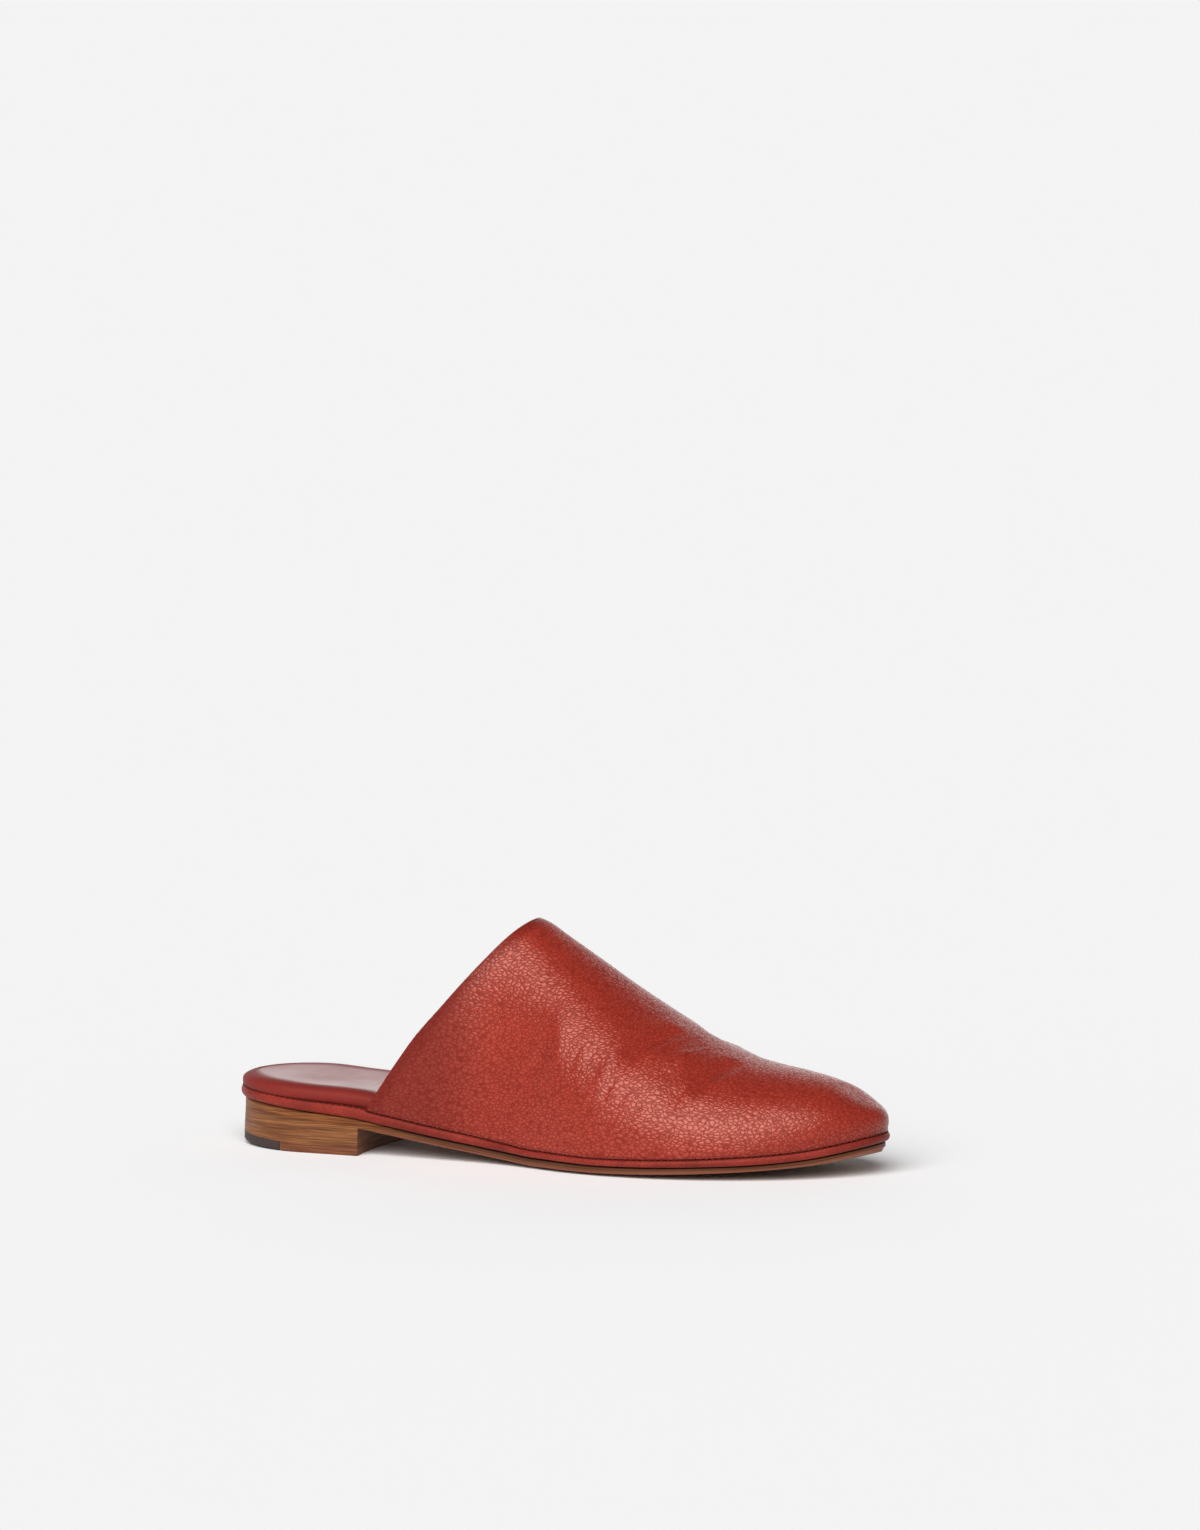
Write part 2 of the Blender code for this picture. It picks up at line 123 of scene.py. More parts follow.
def maths(tree, operation, *values):
    """Result of a sum, product or other operation on its values."""
    inputs = {"_%d" % i: value for i, value in enumerate(values)}
    return add(tree, "ShaderNodeMath", {"operation": operation}, **inputs).outputs["Value"]


def mix(tree, factor, a, b, blend="MIX"):
    """Colour a turned into colour b by a factor."""
    settings = {"data_type": "RGBA", "blend_type": blend}
    return add(tree, "ShaderNodeMix", settings, Factor=factor, A=a, B=b).outputs[2]


def cloud(tree, place, scale, detail):
    """Noise from 0 to 1, with about scale lumps to a metre."""
    return add(tree, "ShaderNodeTexNoise", Vector=place, Scale=scale, Detail=detail).outputs["Fac"]


def bump(tree, height, strength, distance):
    node = add(tree, "ShaderNodeBump", Height=height, Strength=strength, Distance=distance)
    return node.outputs["Normal"]


def height_on_uv(tree):
    """v of the piece's own UV map, in metres."""
    surface = add(tree, "ShaderNodeUVMap", {"uv_map": "UVMap"}).outputs["UV"]
    return add(tree, "ShaderNodeSeparateXYZ", Vector=surface).outputs["Y"]


# %% [markdown]
# A shoe is built round a last, the wooden or plastic foot that the leather is pulled over.
# Its outline and its heights are the same named sizes that the CAD model was made from. They
# are repeated here, because the fine surfaces must lie exactly where the coarse ones do.

# %% Sizes of the shoe
LENGTH = 0.2566
BALL_HALF_WIDTH = 0.0425
TOE_OFFSET = 0.0060
HEEL_ROUNDNESS = 0.0185
TOE_ROUNDNESS = 0.0210
HEEL_RISE = 0.0147
TOE_SPRING = 0.0088
OUTSOLE_THICKNESS = 0.0042
OUTSOLE_CROWN = 0.0011
OUTSOLE_INSET = 0.0016
RAND_HEIGHT = 0.0045
RAND_BULGE = 0.0012
BREAST_X = 0.0585
BREAST_HOLLOW = 0.0025
HEEL_FLARE = 0.0005
TOPLIFT_THICKNESS = 0.0032
RUBBER_LENGTH = 0.0256
HEEL_BACK_LIFT = 0.0017
HEEL_FLAT_X = BREAST_X - 0.0225
INSOLE_THICKNESS = 0.0050
INSOLE_INSET = 0.0005
INSOLE_CLEARANCE = 0.0006
INSOLE_FULL_WIDTH_END = 0.10 * LENGTH
WALL = 0.0018
UPPER_INSET = 0.0007
HEM = 0.0015
RIDGE_HEIGHT = 0.0891
TOP_SIDE_X = 0.0629
TOP_RIDGE_X = 0.1182
FAN_X = 0.740 * LENGTH
SPINE_END_X = 0.951 * LENGTH
RIDGE_LEAN = 0.0060
STEP_LENGTH = 0.0020
GAP = 0.0003
FLAT_START, FLAT_END = 0.520, 0.605
OUTER, INNER = -1, 1

# Rows of the plan outline: place along and handles as shares of LENGTH, distance out as a
# share of BALL_HALF_WIDTH: along, out, handle back, handle ahead
OUTLINE = {
    OUTER: (
        (0.135, 0.735, 0.076, 0.117),
        (0.400, 0.745, 0.117, 0.117),
        (0.665, 1.020, 0.133, 0.175),
    ),
    INNER: (
        (0.135, 0.715, 0.074, 0.117),
        (0.420, 0.600, 0.117, 0.133),
        (0.715, 1.000, 0.125, 0.140),
    ),
}

# %% [markdown]
# Two kinds of line describe a last. A table of heights along the shoe becomes a smooth
# monotone curve, which never swings past its rows, so no bump appears between them. The plan
# outline is a chain of cubic curves, measured along its own length, so that points can be
# spread evenly round the heel and the toe. Both are sampled finely once and looked up after.

# %% Curves through tables
CURVE_SAMPLES = 1200
SEGMENT_SAMPLES = 120


class Curve:
    def __init__(self, rows, column=1):
        places = np.array([row[0] for row in rows], float)
        values = np.array([row[column] for row in rows], float)
        steps, slopes = np.diff(places), np.diff(values) / np.diff(places)
        tangents = [slopes[0]]
        for before, after, left, right in zip(steps, steps[1:], slopes, slopes[1:]):
            near, far = 2 * after + before, after + 2 * before
            turning = left * right <= 0.0
            tangents.append(0.0 if turning else (near + far) / (near / left + far / right))
        tangents.append(slopes[-1])
        tangents = np.array(tangents)
        self.at = np.linspace(places[0], places[-1], CURVE_SAMPLES)
        i = np.clip(np.searchsorted(places, self.at, "right") - 1, 0, len(steps) - 1)
        t = (self.at - places[i]) / steps[i]
        self.values = (
            (1 + 2 * t) * (1 - t) ** 2 * values[i]
            + t * t * (3 - 2 * t) * values[i + 1]
            + t * (1 - t) ** 2 * steps[i] * tangents[i]
            + t * t * (t - 1) * steps[i] * tangents[i + 1]
        )

    def __call__(self, place):
        return np.interp(place, self.at, self.values)


def bezier(a, b, c, d, t):
    u = 1.0 - t
    return a * u ** 3 + b * (3 * u * u * t) + c * (3 * u * t * t) + d * t ** 3


def smooth_step(value, start, end):
    t = np.clip((value - start) / (end - start), 0.0, 1.0)
    return t * t * (3.0 - 2.0 * t)


class Side:
    """One side of the outline: points and outward directions by length from the heel."""

    def __init__(self, side):
        t = np.linspace(0.0, 1.0, SEGMENT_SAMPLES + 1)[1:, None]
        at = np.array((0.0, 0.0))
        handle = np.array((0.0, side * HEEL_ROUNDNESS))
        runs = [at[None, :]]
        for along, out, back, ahead in OUTLINE[side]:
            to = np.array((along * LENGTH, side * out * BALL_HALF_WIDTH))
            runs.append(bezier(at, handle, to - np.array((back * LENGTH, 0.0)), to, t))
            at, handle = to, to + np.array((ahead * LENGTH, 0.0))
        tip = np.array((LENGTH, TOE_OFFSET))
        runs.append(bezier(at, handle, tip + np.array((0.0, side * TOE_ROUNDNESS)), tip, t))
        self.points = np.concatenate(runs)
        stretch = np.linalg.norm(np.diff(self.points, axis=0), axis=1)
        self.lengths = np.concatenate(([0.0], np.cumsum(stretch)))
        self.total = self.lengths[-1]
        ahead = np.gradient(self.points, axis=0)
        ahead[0], ahead[-1] = (0.0, side), (0.0, -side)
        ahead /= np.linalg.norm(ahead, axis=1)[:, None]
        self.outs = np.stack((-ahead[:, 1], ahead[:, 0]), axis=1) * side

    def length_to(self, x):
        """Length from the heel's back to a place x."""
        return self.total if x >= LENGTH else float(np.interp(x, self.points[:, 0], self.lengths))

    def at(self, length):
        """Points and unit outward directions at lengths from the heel's back."""
        point = [np.interp(length, self.lengths, self.points[:, k]) for k in (0, 1)]
        out = np.stack([np.interp(length, self.lengths, self.outs[:, k]) for k in (0, 1)], -1)
        return np.stack(point, -1), out / np.linalg.norm(out, axis=-1, keepdims=True)


SIDE = {side: Side(side) for side in (OUTER, INNER)}
print("outline: outer side %.1f mm, inner side %.1f mm" % tuple(SIDE[s].total / MM for s in SIDE))

# %% [markdown]
# The bottom of the shoe is a stack: outsole, rand and insole, each lying on the last. The
# outsole's underside gives the heel pitch and the toe spring, and every other height is
# measured from it. The rand is taller behind the upper's corner, where it also carries the
# insole's edge, and steps down where the leather of the upper begins.

# %% Heights of the bottom
# Rows: place along the shoe, share of HEEL_RISE, share of TOE_SPRING
UNDERSIDE_ROWS = (
    (0.000, 1.00, 0.00), (0.080, 0.93, 0.00), (0.136, 0.84, 0.00), (0.224, 0.71, 0.00),
    (0.273, 0.57, 0.00), (0.331, 0.40, 0.00), (0.390, 0.24, 0.00), (0.448, 0.10, 0.00),
    (FLAT_START, 0.00, 0.00), (FLAT_END, 0.00, 0.00), (0.680, 0.00, 0.05), (0.740, 0.00, 0.12),
    (0.800, 0.00, 0.21), (0.857, 0.00, 0.32), (0.916, 0.00, 0.50), (1.000, 0.00, 1.00),
)
# Rows: place along the shoe, share of OUTSOLE_THICKNESS, share of OUTSOLE_CROWN
OUTSOLE_ROWS = (
    (0.000, 0.80, 0.00), (0.230, 0.80, 0.00), (0.300, 0.85, 0.40), (0.448, 0.98, 1.00),
    (0.520, 1.00, 1.00), (0.620, 0.90, 1.00), (0.740, 0.84, 1.00), (0.900, 0.76, 1.00),
    (1.000, 0.76, 1.00),
)
heel_pitch, toe_spring = Curve(UNDERSIDE_ROWS), Curve(UNDERSIDE_ROWS, 2)
outsole_depth, outsole_crown = Curve(OUTSOLE_ROWS), Curve(OUTSOLE_ROWS, 2)
# Place along the shoe, then the share of RAND_HEIGHT or of INSOLE_THICKNESS
rand_behind = Curve(((0.000, 0.82), (0.060, 0.80), (0.140, 0.86), (0.240, 0.95)))
rand_ahead = Curve((
    (0.260, 0.80), (0.331, 0.76), (0.390, 0.72), (0.448, 0.66), (0.510, 0.55),
    (0.620, 0.53), (0.740, 0.58), (0.857, 0.64), (1.000, 0.67),
))
insole_height = Curve((
    (0.00, 1.68), (0.07, 1.78), (0.14, 1.88), (0.24, 2.02),
    (0.30, 1.90), (0.45, 1.45), (0.60, 1.09), (1.00, 1.16),
))


def underside(x):
    return heel_pitch(x / LENGTH) * HEEL_RISE + toe_spring(x / LENGTH) * TOE_SPRING


def outsole_top(x):
    return underside(x) + outsole_depth(x / LENGTH) * OUTSOLE_THICKNESS


def rand_bottom(x):
    return outsole_top(x) + GAP


def rand_top(x):
    """Top of the rand, with its step down at the corner of the upper."""
    done = np.clip((x - TOP_SIDE_X) / STEP_LENGTH + 1.0, 0.0, 1.0)
    blend = done * done * (3 - 2 * done)
    behind, ahead = rand_behind(x / LENGTH), rand_ahead(x / LENGTH)
    return rand_bottom(x) + RAND_HEIGHT * (behind + (ahead - behind) * blend)


def insole_top(x):
    return rand_bottom(x) + INSOLE_THICKNESS * insole_height(x / LENGTH)


# %% [markdown]
# Every piece is first thought of as a sheet of squares: so many rows along the shoe, so many
# columns round it. Blender's grid operator makes the sheet and each corner is moved to its
# place on the last. Where the sheet's first and last columns meet, or where a row shrinks to
# a point at the heel or the toe, the corners are welded, which leaves a closed solid. The
# sheet also keeps a UV map in metres: u runs along the shoe's edge, v up its thickness.

# %% Sheet to mesh
WELD = 2e-6
SHARP_ANGLE = math.radians(50.0)
low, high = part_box("midsole")
outer_reach = min(SIDE[OUTER].points[:, 1])
TO_WORLD = np.array((low.x, low.y - outer_reach, 0.0))


def grid_bmesh(places, uvs, marks=None):
    """bmesh of a grid whose corners lie at places[row, column], in the row frame.

    marks gives the corners named values, which materials read as attributes.
    """
    rows, columns = places.shape[:2]
    bm = bmesh.new()
    uv_map = bm.loops.layers.uv.new("UVMap")
    layers = {name: bm.verts.layers.float.new(name) for name in marks or {}}
    bmesh.ops.create_grid(bm, x_segments=rows - 1, y_segments=columns - 1, size=1.0)
    placed = places + TO_WORLD
    for vert in bm.verts:
        i = round((vert.co.x + 1.0) / 2.0 * (rows - 1))
        j = round((vert.co.y + 1.0) / 2.0 * (columns - 1))
        for loop in vert.link_loops:
            loop[uv_map].uv = uvs[i, j]
        for name, layer in layers.items():
            vert[layer] = marks[name][i, j]
        vert.co = placed[i, j]
    return bm


def finish_piece(name, bm):
    """Object from a bmesh, smooth but for its sharp edges, riding on the shoe."""
    mesh = bpy.data.meshes.new(name)
    bm.to_mesh(mesh)
    bm.free()
    mesh.shade_smooth()
    mesh.set_sharp_from_angle(angle=SHARP_ANGLE)
    piece = bpy.data.objects.new(name, mesh)
    bpy.context.scene.collection.objects.link(piece)
    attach(piece, "root")
    print("%s: %d faces" % (name, len(mesh.polygons)))
    return piece


def edge_stations(stretches):
    """Edge points of both sides at matching shares of each stretch.

    Returns points, outward directions and lengths by side, and the share of the
    last stretch, which is 0 along the others.
    """
    shares, found = [], {side: [] for side in SIDE}
    for start, end, count in stretches:
        share = np.linspace(0.0, 1.0, count + 1)
        if start <= 0.0:
            share = 1.0 - np.cos(math.pi * share / 2.0)
        elif end >= LENGTH:
            share = np.sin(math.pi * share / 2.0)
        if start != stretches[0][0]:
            share = share[1:]
        shares.append(share if end == stretches[-1][1] else 0.0 * share)
        for side, outline in SIDE.items():
            first, last = outline.length_to(start), outline.length_to(end)
            found[side].append(first + (last - first) * share)
    lengths = {side: np.concatenate(runs) for side, runs in found.items()}
    edges = {side: SIDE[side].at(lengths[side]) for side in SIDE}
    return edges, lengths, np.concatenate(shares)


def plate(name, stretches, edge, top, bottom, across=8, hollow=0.0, inset_at=None):
    """Closed solid that follows the outline.

    edge runs down the side of the plate: rows of inset and share of the thickness,
    where an inset may be a function of x. top and bottom give heights from x and the
    place across, -1 to 1. across counts the faces over the plate, hollow pulls its
    front end back in the middle, and inset_at narrows it by a function of x.
    """
    edges, lengths, share = edge_stations(stretches)
    extra = inset_at(edges[OUTER][0][:, 0]) if inset_at else 0.0
    widths = np.linspace(-1.0, 1.0, across + 1)
    columns, uvs = [], []

    def rim(side, inset):
        point, out = edges[side]
        if callable(inset):
            inset = inset(point[:, 0])
        return point - out * np.reshape(inset + extra, (-1, 1))

    def lay(row, w):
        left, right = rim(OUTER, row[0]), rim(INNER, row[0])
        place = left + (right - left) * (w + 1.0) / 2.0
        x = place[:, 0]
        high_z, low_z = top(x, w), bottom(x, w)
        pull = hollow * (1.0 - w * w) * share
        z = high_z + (low_z - high_z) * row[1]
        half = np.linalg.norm(right - left, axis=1) / 2.0 * (1.0 - abs(w))
        along = lengths[OUTER] + (lengths[INNER] - lengths[OUTER]) * (w + 1.0) / 2.0
        up = z - low_z + np.where(row[1] > 0.5, -half, half)
        columns.append(np.stack((x - pull, place[:, 1], z), -1))
        uvs.append(np.stack((along, up), -1))

    for w in widths:
        lay(edge[0], w)
    for row in edge[1:-1]:
        lay(row, 1.0)
    for w in reversed(widths):
        lay(edge[-1], w)
    for row in reversed(edge[1:-1]):
        lay(row, -1.0)
    lay(edge[0], -1.0)
    places, uvs = np.stack(columns, 1), np.stack(uvs, 1)
    places, uvs = close_ends(places, uvs, stretches, len(edge), across)
    bm = grid_bmesh(places, uvs)
    bmesh.ops.remove_doubles(bm, verts=bm.verts, dist=WELD)
    bmesh.ops.recalc_face_normals(bm, faces=bm.faces)
    return finish_piece(name, bm)


CAP_RINGS = 4


def close_ends(places, uvs, stretches, edge_rows, across):
    """Add rings that shrink each open end to the middle line of its cut."""
    count, sides = across + 1, edge_rows - 2

    def caps(ring):
        top = ring[:count]
        bottom = ring[count + sides:2 * count + sides][::-1]
        middle = (top + bottom) / 2.0
        whole = np.concatenate((
            middle, np.repeat(middle[-1:], sides, 0), middle[::-1],
            np.repeat(middle[:1], sides + 1, 0),
        ))
        steps = np.arange(1, CAP_RINGS + 1)[:, None, None] / CAP_RINGS
        return ring[None] + (whole - ring)[None] * steps

    if stretches[0][0] > 0.0:
        places = np.concatenate((caps(places[0])[::-1], places))
        uvs = np.concatenate((np.repeat(uvs[:1], CAP_RINGS, 0), uvs))
    if stretches[-1][1] < LENGTH:
        places = np.concatenate((places, caps(places[-1])))
        uvs = np.concatenate((uvs, np.repeat(uvs[-1:], CAP_RINGS, 0)))
    return places, uvs


SOLE_STRETCHES = (
    (0.0, TOP_SIDE_X - STEP_LENGTH, 64),
    (TOP_SIDE_X - STEP_LENGTH, TOP_SIDE_X, 6),
    (TOP_SIDE_X, FLAT_START * LENGTH, 46),
    (FLAT_START * LENGTH, FLAT_END * LENGTH, 14),
    (FLAT_END * LENGTH, LENGTH, 96),
)

# %% [markdown]
# The insole is a foam pad wrapped in smooth leather. Its edge is a pillow: a wide shoulder
# falls from the flat top, the side hangs almost upright, and the leather tucks under at the
# bottom, so a fine groove is left over the rand. The foot has rested on it, so the middle of
# its heel is dished a little.

# %% Padded insole
HEEL_DISH = 0.0007
DISH_START_X, DISH_END_X, DISH_FADE = 0.02, 0.12, 0.06
# Rows from the flat top round to the seam: inset in mm, share of the thickness
PILLOW_ROWS = (
    (4.60, 0.00), (3.40, 0.03), (2.40, 0.08), (1.60, 0.15), (1.00, 0.23), (0.55, 0.31),
    (0.25, 0.39), (0.10, 0.46), (0.03, 0.55), (0.00, 0.70), (0.05, 0.85), (0.40, 1.00),
)
insole_edge = [(inset * MM, down) for inset, down in PILLOW_ROWS]
insole_narrowing = Curve(((INSOLE_FULL_WIDTH_END, 0.0), (TOP_SIDE_X - STEP_LENGTH, 1.0)))


def insole_inset(x):
    inside = UPPER_INSET + WALL + INSOLE_CLEARANCE
    return INSOLE_INSET + (inside - INSOLE_INSET) * insole_narrowing(x)


def dished_top(x, w):
    dish = HEEL_DISH * (1.0 - w * w) * np.clip(x / DISH_START_X, 0.0, 1.0)
    return insole_top(x) - dish * np.clip((DISH_END_X - x) / DISH_FADE, 0.0, 1.0)


insole = plate(
    "padded_insole", SOLE_STRETCHES, insole_edge,
    dished_top, lambda x, w: rand_top(x) + GAP, across=28, inset_at=insole_inset,
)
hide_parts("insole")

# %% [markdown]
# The rand is the red leather band that hides the joint between the upper and the sole. It
# is wrapped over a strip of leather, so its face is a plain half round that stands proud of
# the outsole below it.

# %% Rand
rand_edge = []
for degrees in np.linspace(90.0, -90.0, 17):
    turn = math.radians(degrees)
    rand_edge.append((RAND_BULGE * (1.0 - math.cos(turn)), (1.0 - math.sin(turn)) / 2.0))
rand = plate(
    "leather_rand", SOLE_STRETCHES, rand_edge,
    lambda x, w: rand_top(x), lambda x, w: rand_bottom(x), across=6,
)
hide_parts("midsole")

# %% [markdown]
# The outsole is a plate of hard sole leather. Its edge is trimmed square, the corner at the
# floor is broken with a knife, and the two layers that it is laid up from leave a shallow
# line along the edge. Its underside rises a little towards the edge, as a worn-in shoe's does.

# %% Outsole
LAYER_LINE, LAYER_HALF = 0.46, 0.05
BREAST_START_X, BREAST_END_X = BREAST_X - 0.001, BREAST_X + 0.002


def ahead_of_breast(depth):
    """Inset of an edge row that is level with the heel block up to the breast."""
    return lambda x: OUTSOLE_INSET + depth * smooth_step(x, BREAST_START_X, BREAST_END_X)


# Rows from the rand down to the floor: inset, share of the thickness
outsole_edge = [
    (OUTSOLE_INSET + 0.0008, 0.0),
    (OUTSOLE_INSET + 0.0003, 0.07),
    (OUTSOLE_INSET, 0.15),
    (OUTSOLE_INSET, LAYER_LINE - LAYER_HALF),
    (ahead_of_breast(0.00012), LAYER_LINE),
    (OUTSOLE_INSET, LAYER_LINE + LAYER_HALF),
    (OUTSOLE_INSET, 0.80),
    (ahead_of_breast(0.0001), 0.90),
    (ahead_of_breast(0.0003), 0.97),
    (ahead_of_breast(0.0006), 1.0),
]


def outsole_bottom(x, w):
    crown = outsole_crown(x / LENGTH) * OUTSOLE_CROWN
    return underside(x) + crown * max(abs(w) * 2.0 - 1.0, 0.0) ** 2


outsole = plate(
    "leather_outsole", SOLE_STRETCHES, outsole_edge,
    lambda x, w: outsole_top(x), outsole_bottom, across=24,
)
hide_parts("outsole")

# %% [markdown]
# The low heel is a block of leather lifts glued in a stack and sanded as one, with a top
# lift below it that touches the floor: leather in front and a piece of hard rubber at the
# back, where shoes wear first. The front of a heel, its breast, is hollowed in plan.

# %% Stacked heel and top lift
HEEL_STEPS = 60
HEEL_FRONT = (HEEL_FLAT_X, BREAST_X, 24)
GLUE_LINE = 0.00003
flared_inset = OUTSOLE_INSET - HEEL_FLARE
EDGE_BREAK = 0.0002


def lift_bottom(x, w):
    """Underside of the top lift, raised a little at the back of the heel."""
    return HEEL_BACK_LIFT * np.maximum(HEEL_FLAT_X - x, 0.0) / HEEL_FLAT_X


def lift_top(x, w):
    return lift_bottom(x, w) + TOPLIFT_THICKNESS


block_edge = [(OUTSOLE_INSET - HEEL_FLARE * down, down) for down in np.linspace(0.0, 1.0, 7)]
lift_edge = [
    (flared_inset, 0.0), (flared_inset, 0.5),
    (flared_inset, 0.9), (flared_inset + EDGE_BREAK, 1.0),
]
heel_block = plate(
    "stacked_heel", [(0.0, HEEL_FLAT_X, HEEL_STEPS), HEEL_FRONT], block_edge,
    lambda x, w: underside(x) - GLUE_LINE, lambda x, w: lift_top(x, w) + GLUE_LINE,
    across=16, hollow=BREAST_HOLLOW,
)
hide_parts("heel_block")
rubber_lift = plate(
    "rubber_lift", [(0.0, RUBBER_LENGTH, HEEL_STEPS // 2)], lift_edge,
    lift_top, lift_bottom, across=12,
)
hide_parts("toplift_rubber")
leather_lift = plate(
    "leather_lift",
    [(RUBBER_LENGTH + GAP, HEEL_FLAT_X, 12), HEEL_FRONT], lift_edge,
    lift_top, lift_bottom, across=16, hollow=BREAST_HOLLOW,
)
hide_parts("toplift_leather")

# %% [markdown]
# The upper is one piece of leather pulled over the last, from one side of the sole across
# the foot to the other. Its cross sections are cubic curves from the rand to the ridge. Up
# to the ball they stand square to the shoe, and from there they fan round the toe. The four
# control points of each section are sampled once, so that a fine sheet can be laid on quickly.

# %% The last, in stations and girths
# Rows: share of the way from the topline to the tip, share of RIDGE_HEIGHT
RIDGE_ROWS = (
    (-0.865, 1.640), (0.000, 1.000), (0.034, 0.972), (0.077, 0.929), (0.198, 0.807),
    (0.310, 0.693), (0.422, 0.588), (0.534, 0.500), (0.646, 0.442), (0.758, 0.412),
    (0.851, 0.378), (0.916, 0.323),
)
# Rows: place along the shoe, lean in degrees, reach of the wall, reach of the crown
SECTION_ROWS = (
    (0.00, -5.0, 0.56, 0.66),
    (0.47, -3.0, 0.57, 0.66),
    (0.66, 4.0, 0.54, 0.61),
    (0.85, 0.0, 0.42, 0.71),
    (0.95, 5.0, 0.52, 0.72),
    (1.00, 11.0, 0.62, 0.75),
)
# Rows: share of the height from the corner to the ridge, share of the way forward
TOPLINE_ROWS = (
    (0.000, 0.000), (0.062, 0.051), (0.227, 0.188), (0.384, 0.329), (0.536, 0.494),
    (0.677, 0.645), (0.809, 0.787), (0.932, 0.919), (1.000, 1.000),
)
ridge_curve, topline = Curve(RIDGE_ROWS), Curve(TOPLINE_ROWS)
lean_of, side_of, flat_of = (Curve(SECTION_ROWS, column) for column in (1, 2, 3))


def ridge_height(x):
    return ridge_curve((x - TOP_RIDGE_X) / (LENGTH - TOP_RIDGE_X)) * RIDGE_HEIGHT


def ridge_slope(x):
    step = 0.002 * LENGTH
    return (ridge_height(x + step) - ridge_height(x - step)) / (2.0 * step)


class Last:
    """Outer face of the upper, by side, station and girth."""

    SAMPLES = 500
    HALVINGS = 30

    def __init__(self):
        self.fan = sum(s.total - s.length_to(FAN_X) for s in SIDE.values()) / 2.0
        self.power = self.fan / (SPINE_END_X - FAN_X)
        self.end = FAN_X + self.fan
        self.stations = np.linspace(TOP_SIDE_X - 0.004, self.end, self.SAMPLES)
        self.controls = {side: self.sections(side) for side in SIDE}

    def sections(self, side):
        """Foot on the rand, then the four control points of every station's curve."""
        outline, s = SIDE[side], self.stations
        start = outline.length_to(FAN_X)
        reach = outline.total - start
        k = np.clip((s - FAN_X) / self.fan, 0.0, 1.0)
        bias = self.fan / (reach * abs(outline.at(start)[1][1])) - 1.0
        straight = np.interp(s, outline.points[:, 0], outline.lengths)
        length = np.where(s <= FAN_X, straight, start + reach * (k + bias * k * (1.0 - k)))
        point, out = outline.at(length)
        point = point - out * UPPER_INSET
        sole = np.column_stack((point, rand_top(point[:, 0]) + GAP))
        foot = sole + np.array((0.0, 0.0, HEM))
        turned = FAN_X + (SPINE_END_X - FAN_X) * (1.0 - (1.0 - k) ** self.power)
        x = np.where(s <= FAN_X, s, turned)
        ridge = np.column_stack((x, RIDGE_LEAN * x / SPINE_END_X, ridge_height(x)))
        share = foot[:, 0] / LENGTH
        lean = np.radians(lean_of(share))
        rise = (ridge[:, 2] - foot[:, 2]) * side_of(share)
        flat = (foot - ridge) * np.array((1.0, 1.0, 0.0))
        half = np.linalg.norm(flat, axis=1)
        flat /= half[:, None]
        flat[:, 2] = flat[:, 0] * ridge_slope(x)
        side_way = np.column_stack((out * np.sin(lean)[:, None], np.cos(lean)))
        wall = foot + side_way * rise[:, None]
        crown = ridge + flat * (half * flat_of(share))[:, None]
        return np.stack((sole, foot, wall, crown, ridge), 1)

    def face(self, side, station, girth):
        """Points at stations and girths: -1 at the rand, 0 at the hem, 1 at the ridge."""
        table = self.controls[side]
        at = [
            np.stack([np.interp(station, self.stations, table[:, k, a]) for a in range(3)], -1)
            for k in range(5)
        ]
        up = np.clip(girth, 0.0, 1.0)[..., None]
        down = np.clip(-girth, 0.0, 1.0)[..., None]
        return bezier(*at[1:], up) * (1.0 - down) + at[0] * down

    def top_station(self, side, girth):
        """Station where each girth line meets the topline, found by halving."""
        base = rand_top(TOP_SIDE_X) + GAP + HEM
        near = np.full(len(girth), TOP_SIDE_X)
        far = np.full(len(girth), TOP_RIDGE_X)
        for _ in range(self.HALVINGS):
            middle = (near + far) / 2.0
            place = self.face(side, middle, np.maximum(girth, 0.0))
            share = (place[:, 2] - base) / (RIDGE_HEIGHT - base)
            line = TOP_SIDE_X + (TOP_RIDGE_X - TOP_SIDE_X) * topline(share)
            short = place[:, 0] < line
            near, far = np.where(short, middle, near), np.where(short, far, middle)
        return far


last = Last()


def upper_sheet(rows, around, hem_rows=0, left_off=0.0):
    """Places of a sheet over the last, its UVs and its marks.

    Columns run from the outer hem over the ridge to the inner hem. left_off is how far
    inside the topline the sheet starts, and below zero it starts outside. The marks
    are the distance to the topline along the leather, and the girth.
    """
    up = np.linspace(0.0, 1.0, around + 1)
    hem = np.linspace(-1.0, 0.0, hem_rows + 1)[:-1]
    half = np.concatenate((hem, up))
    girth = np.concatenate((half, half[-2::-1]))
    sides = np.array([OUTER] * len(half) + [INNER] * (len(half) - 1))
    starts = np.empty(len(girth))
    for side in SIDE:
        mine = sides == side
        starts[mine] = last.top_station(side, girth[mine]) + left_off
    along = np.linspace(0.0, 1.0, rows + 1)[:, None]
    stations = starts + (last.end - starts) * along
    girths = np.broadcast_to(girth, stations.shape)
    places = np.empty(stations.shape + (3,))
    for side in SIDE:
        mine = sides == side
        places[:, mine] = last.face(side, stations[:, mine], girths[:, mine])
    steps = np.linalg.norm(np.diff(places, axis=0), axis=2)
    behind = np.concatenate((np.zeros((1, len(girth))), np.cumsum(steps, axis=0))) + left_off
    across = np.linalg.norm(np.diff(places, axis=1), axis=2)
    over = np.concatenate((np.zeros((rows + 1, 1)), np.cumsum(across, axis=1)), axis=1)
    return places, np.stack((behind, over), -1), {"behind": behind, "girth": girths}


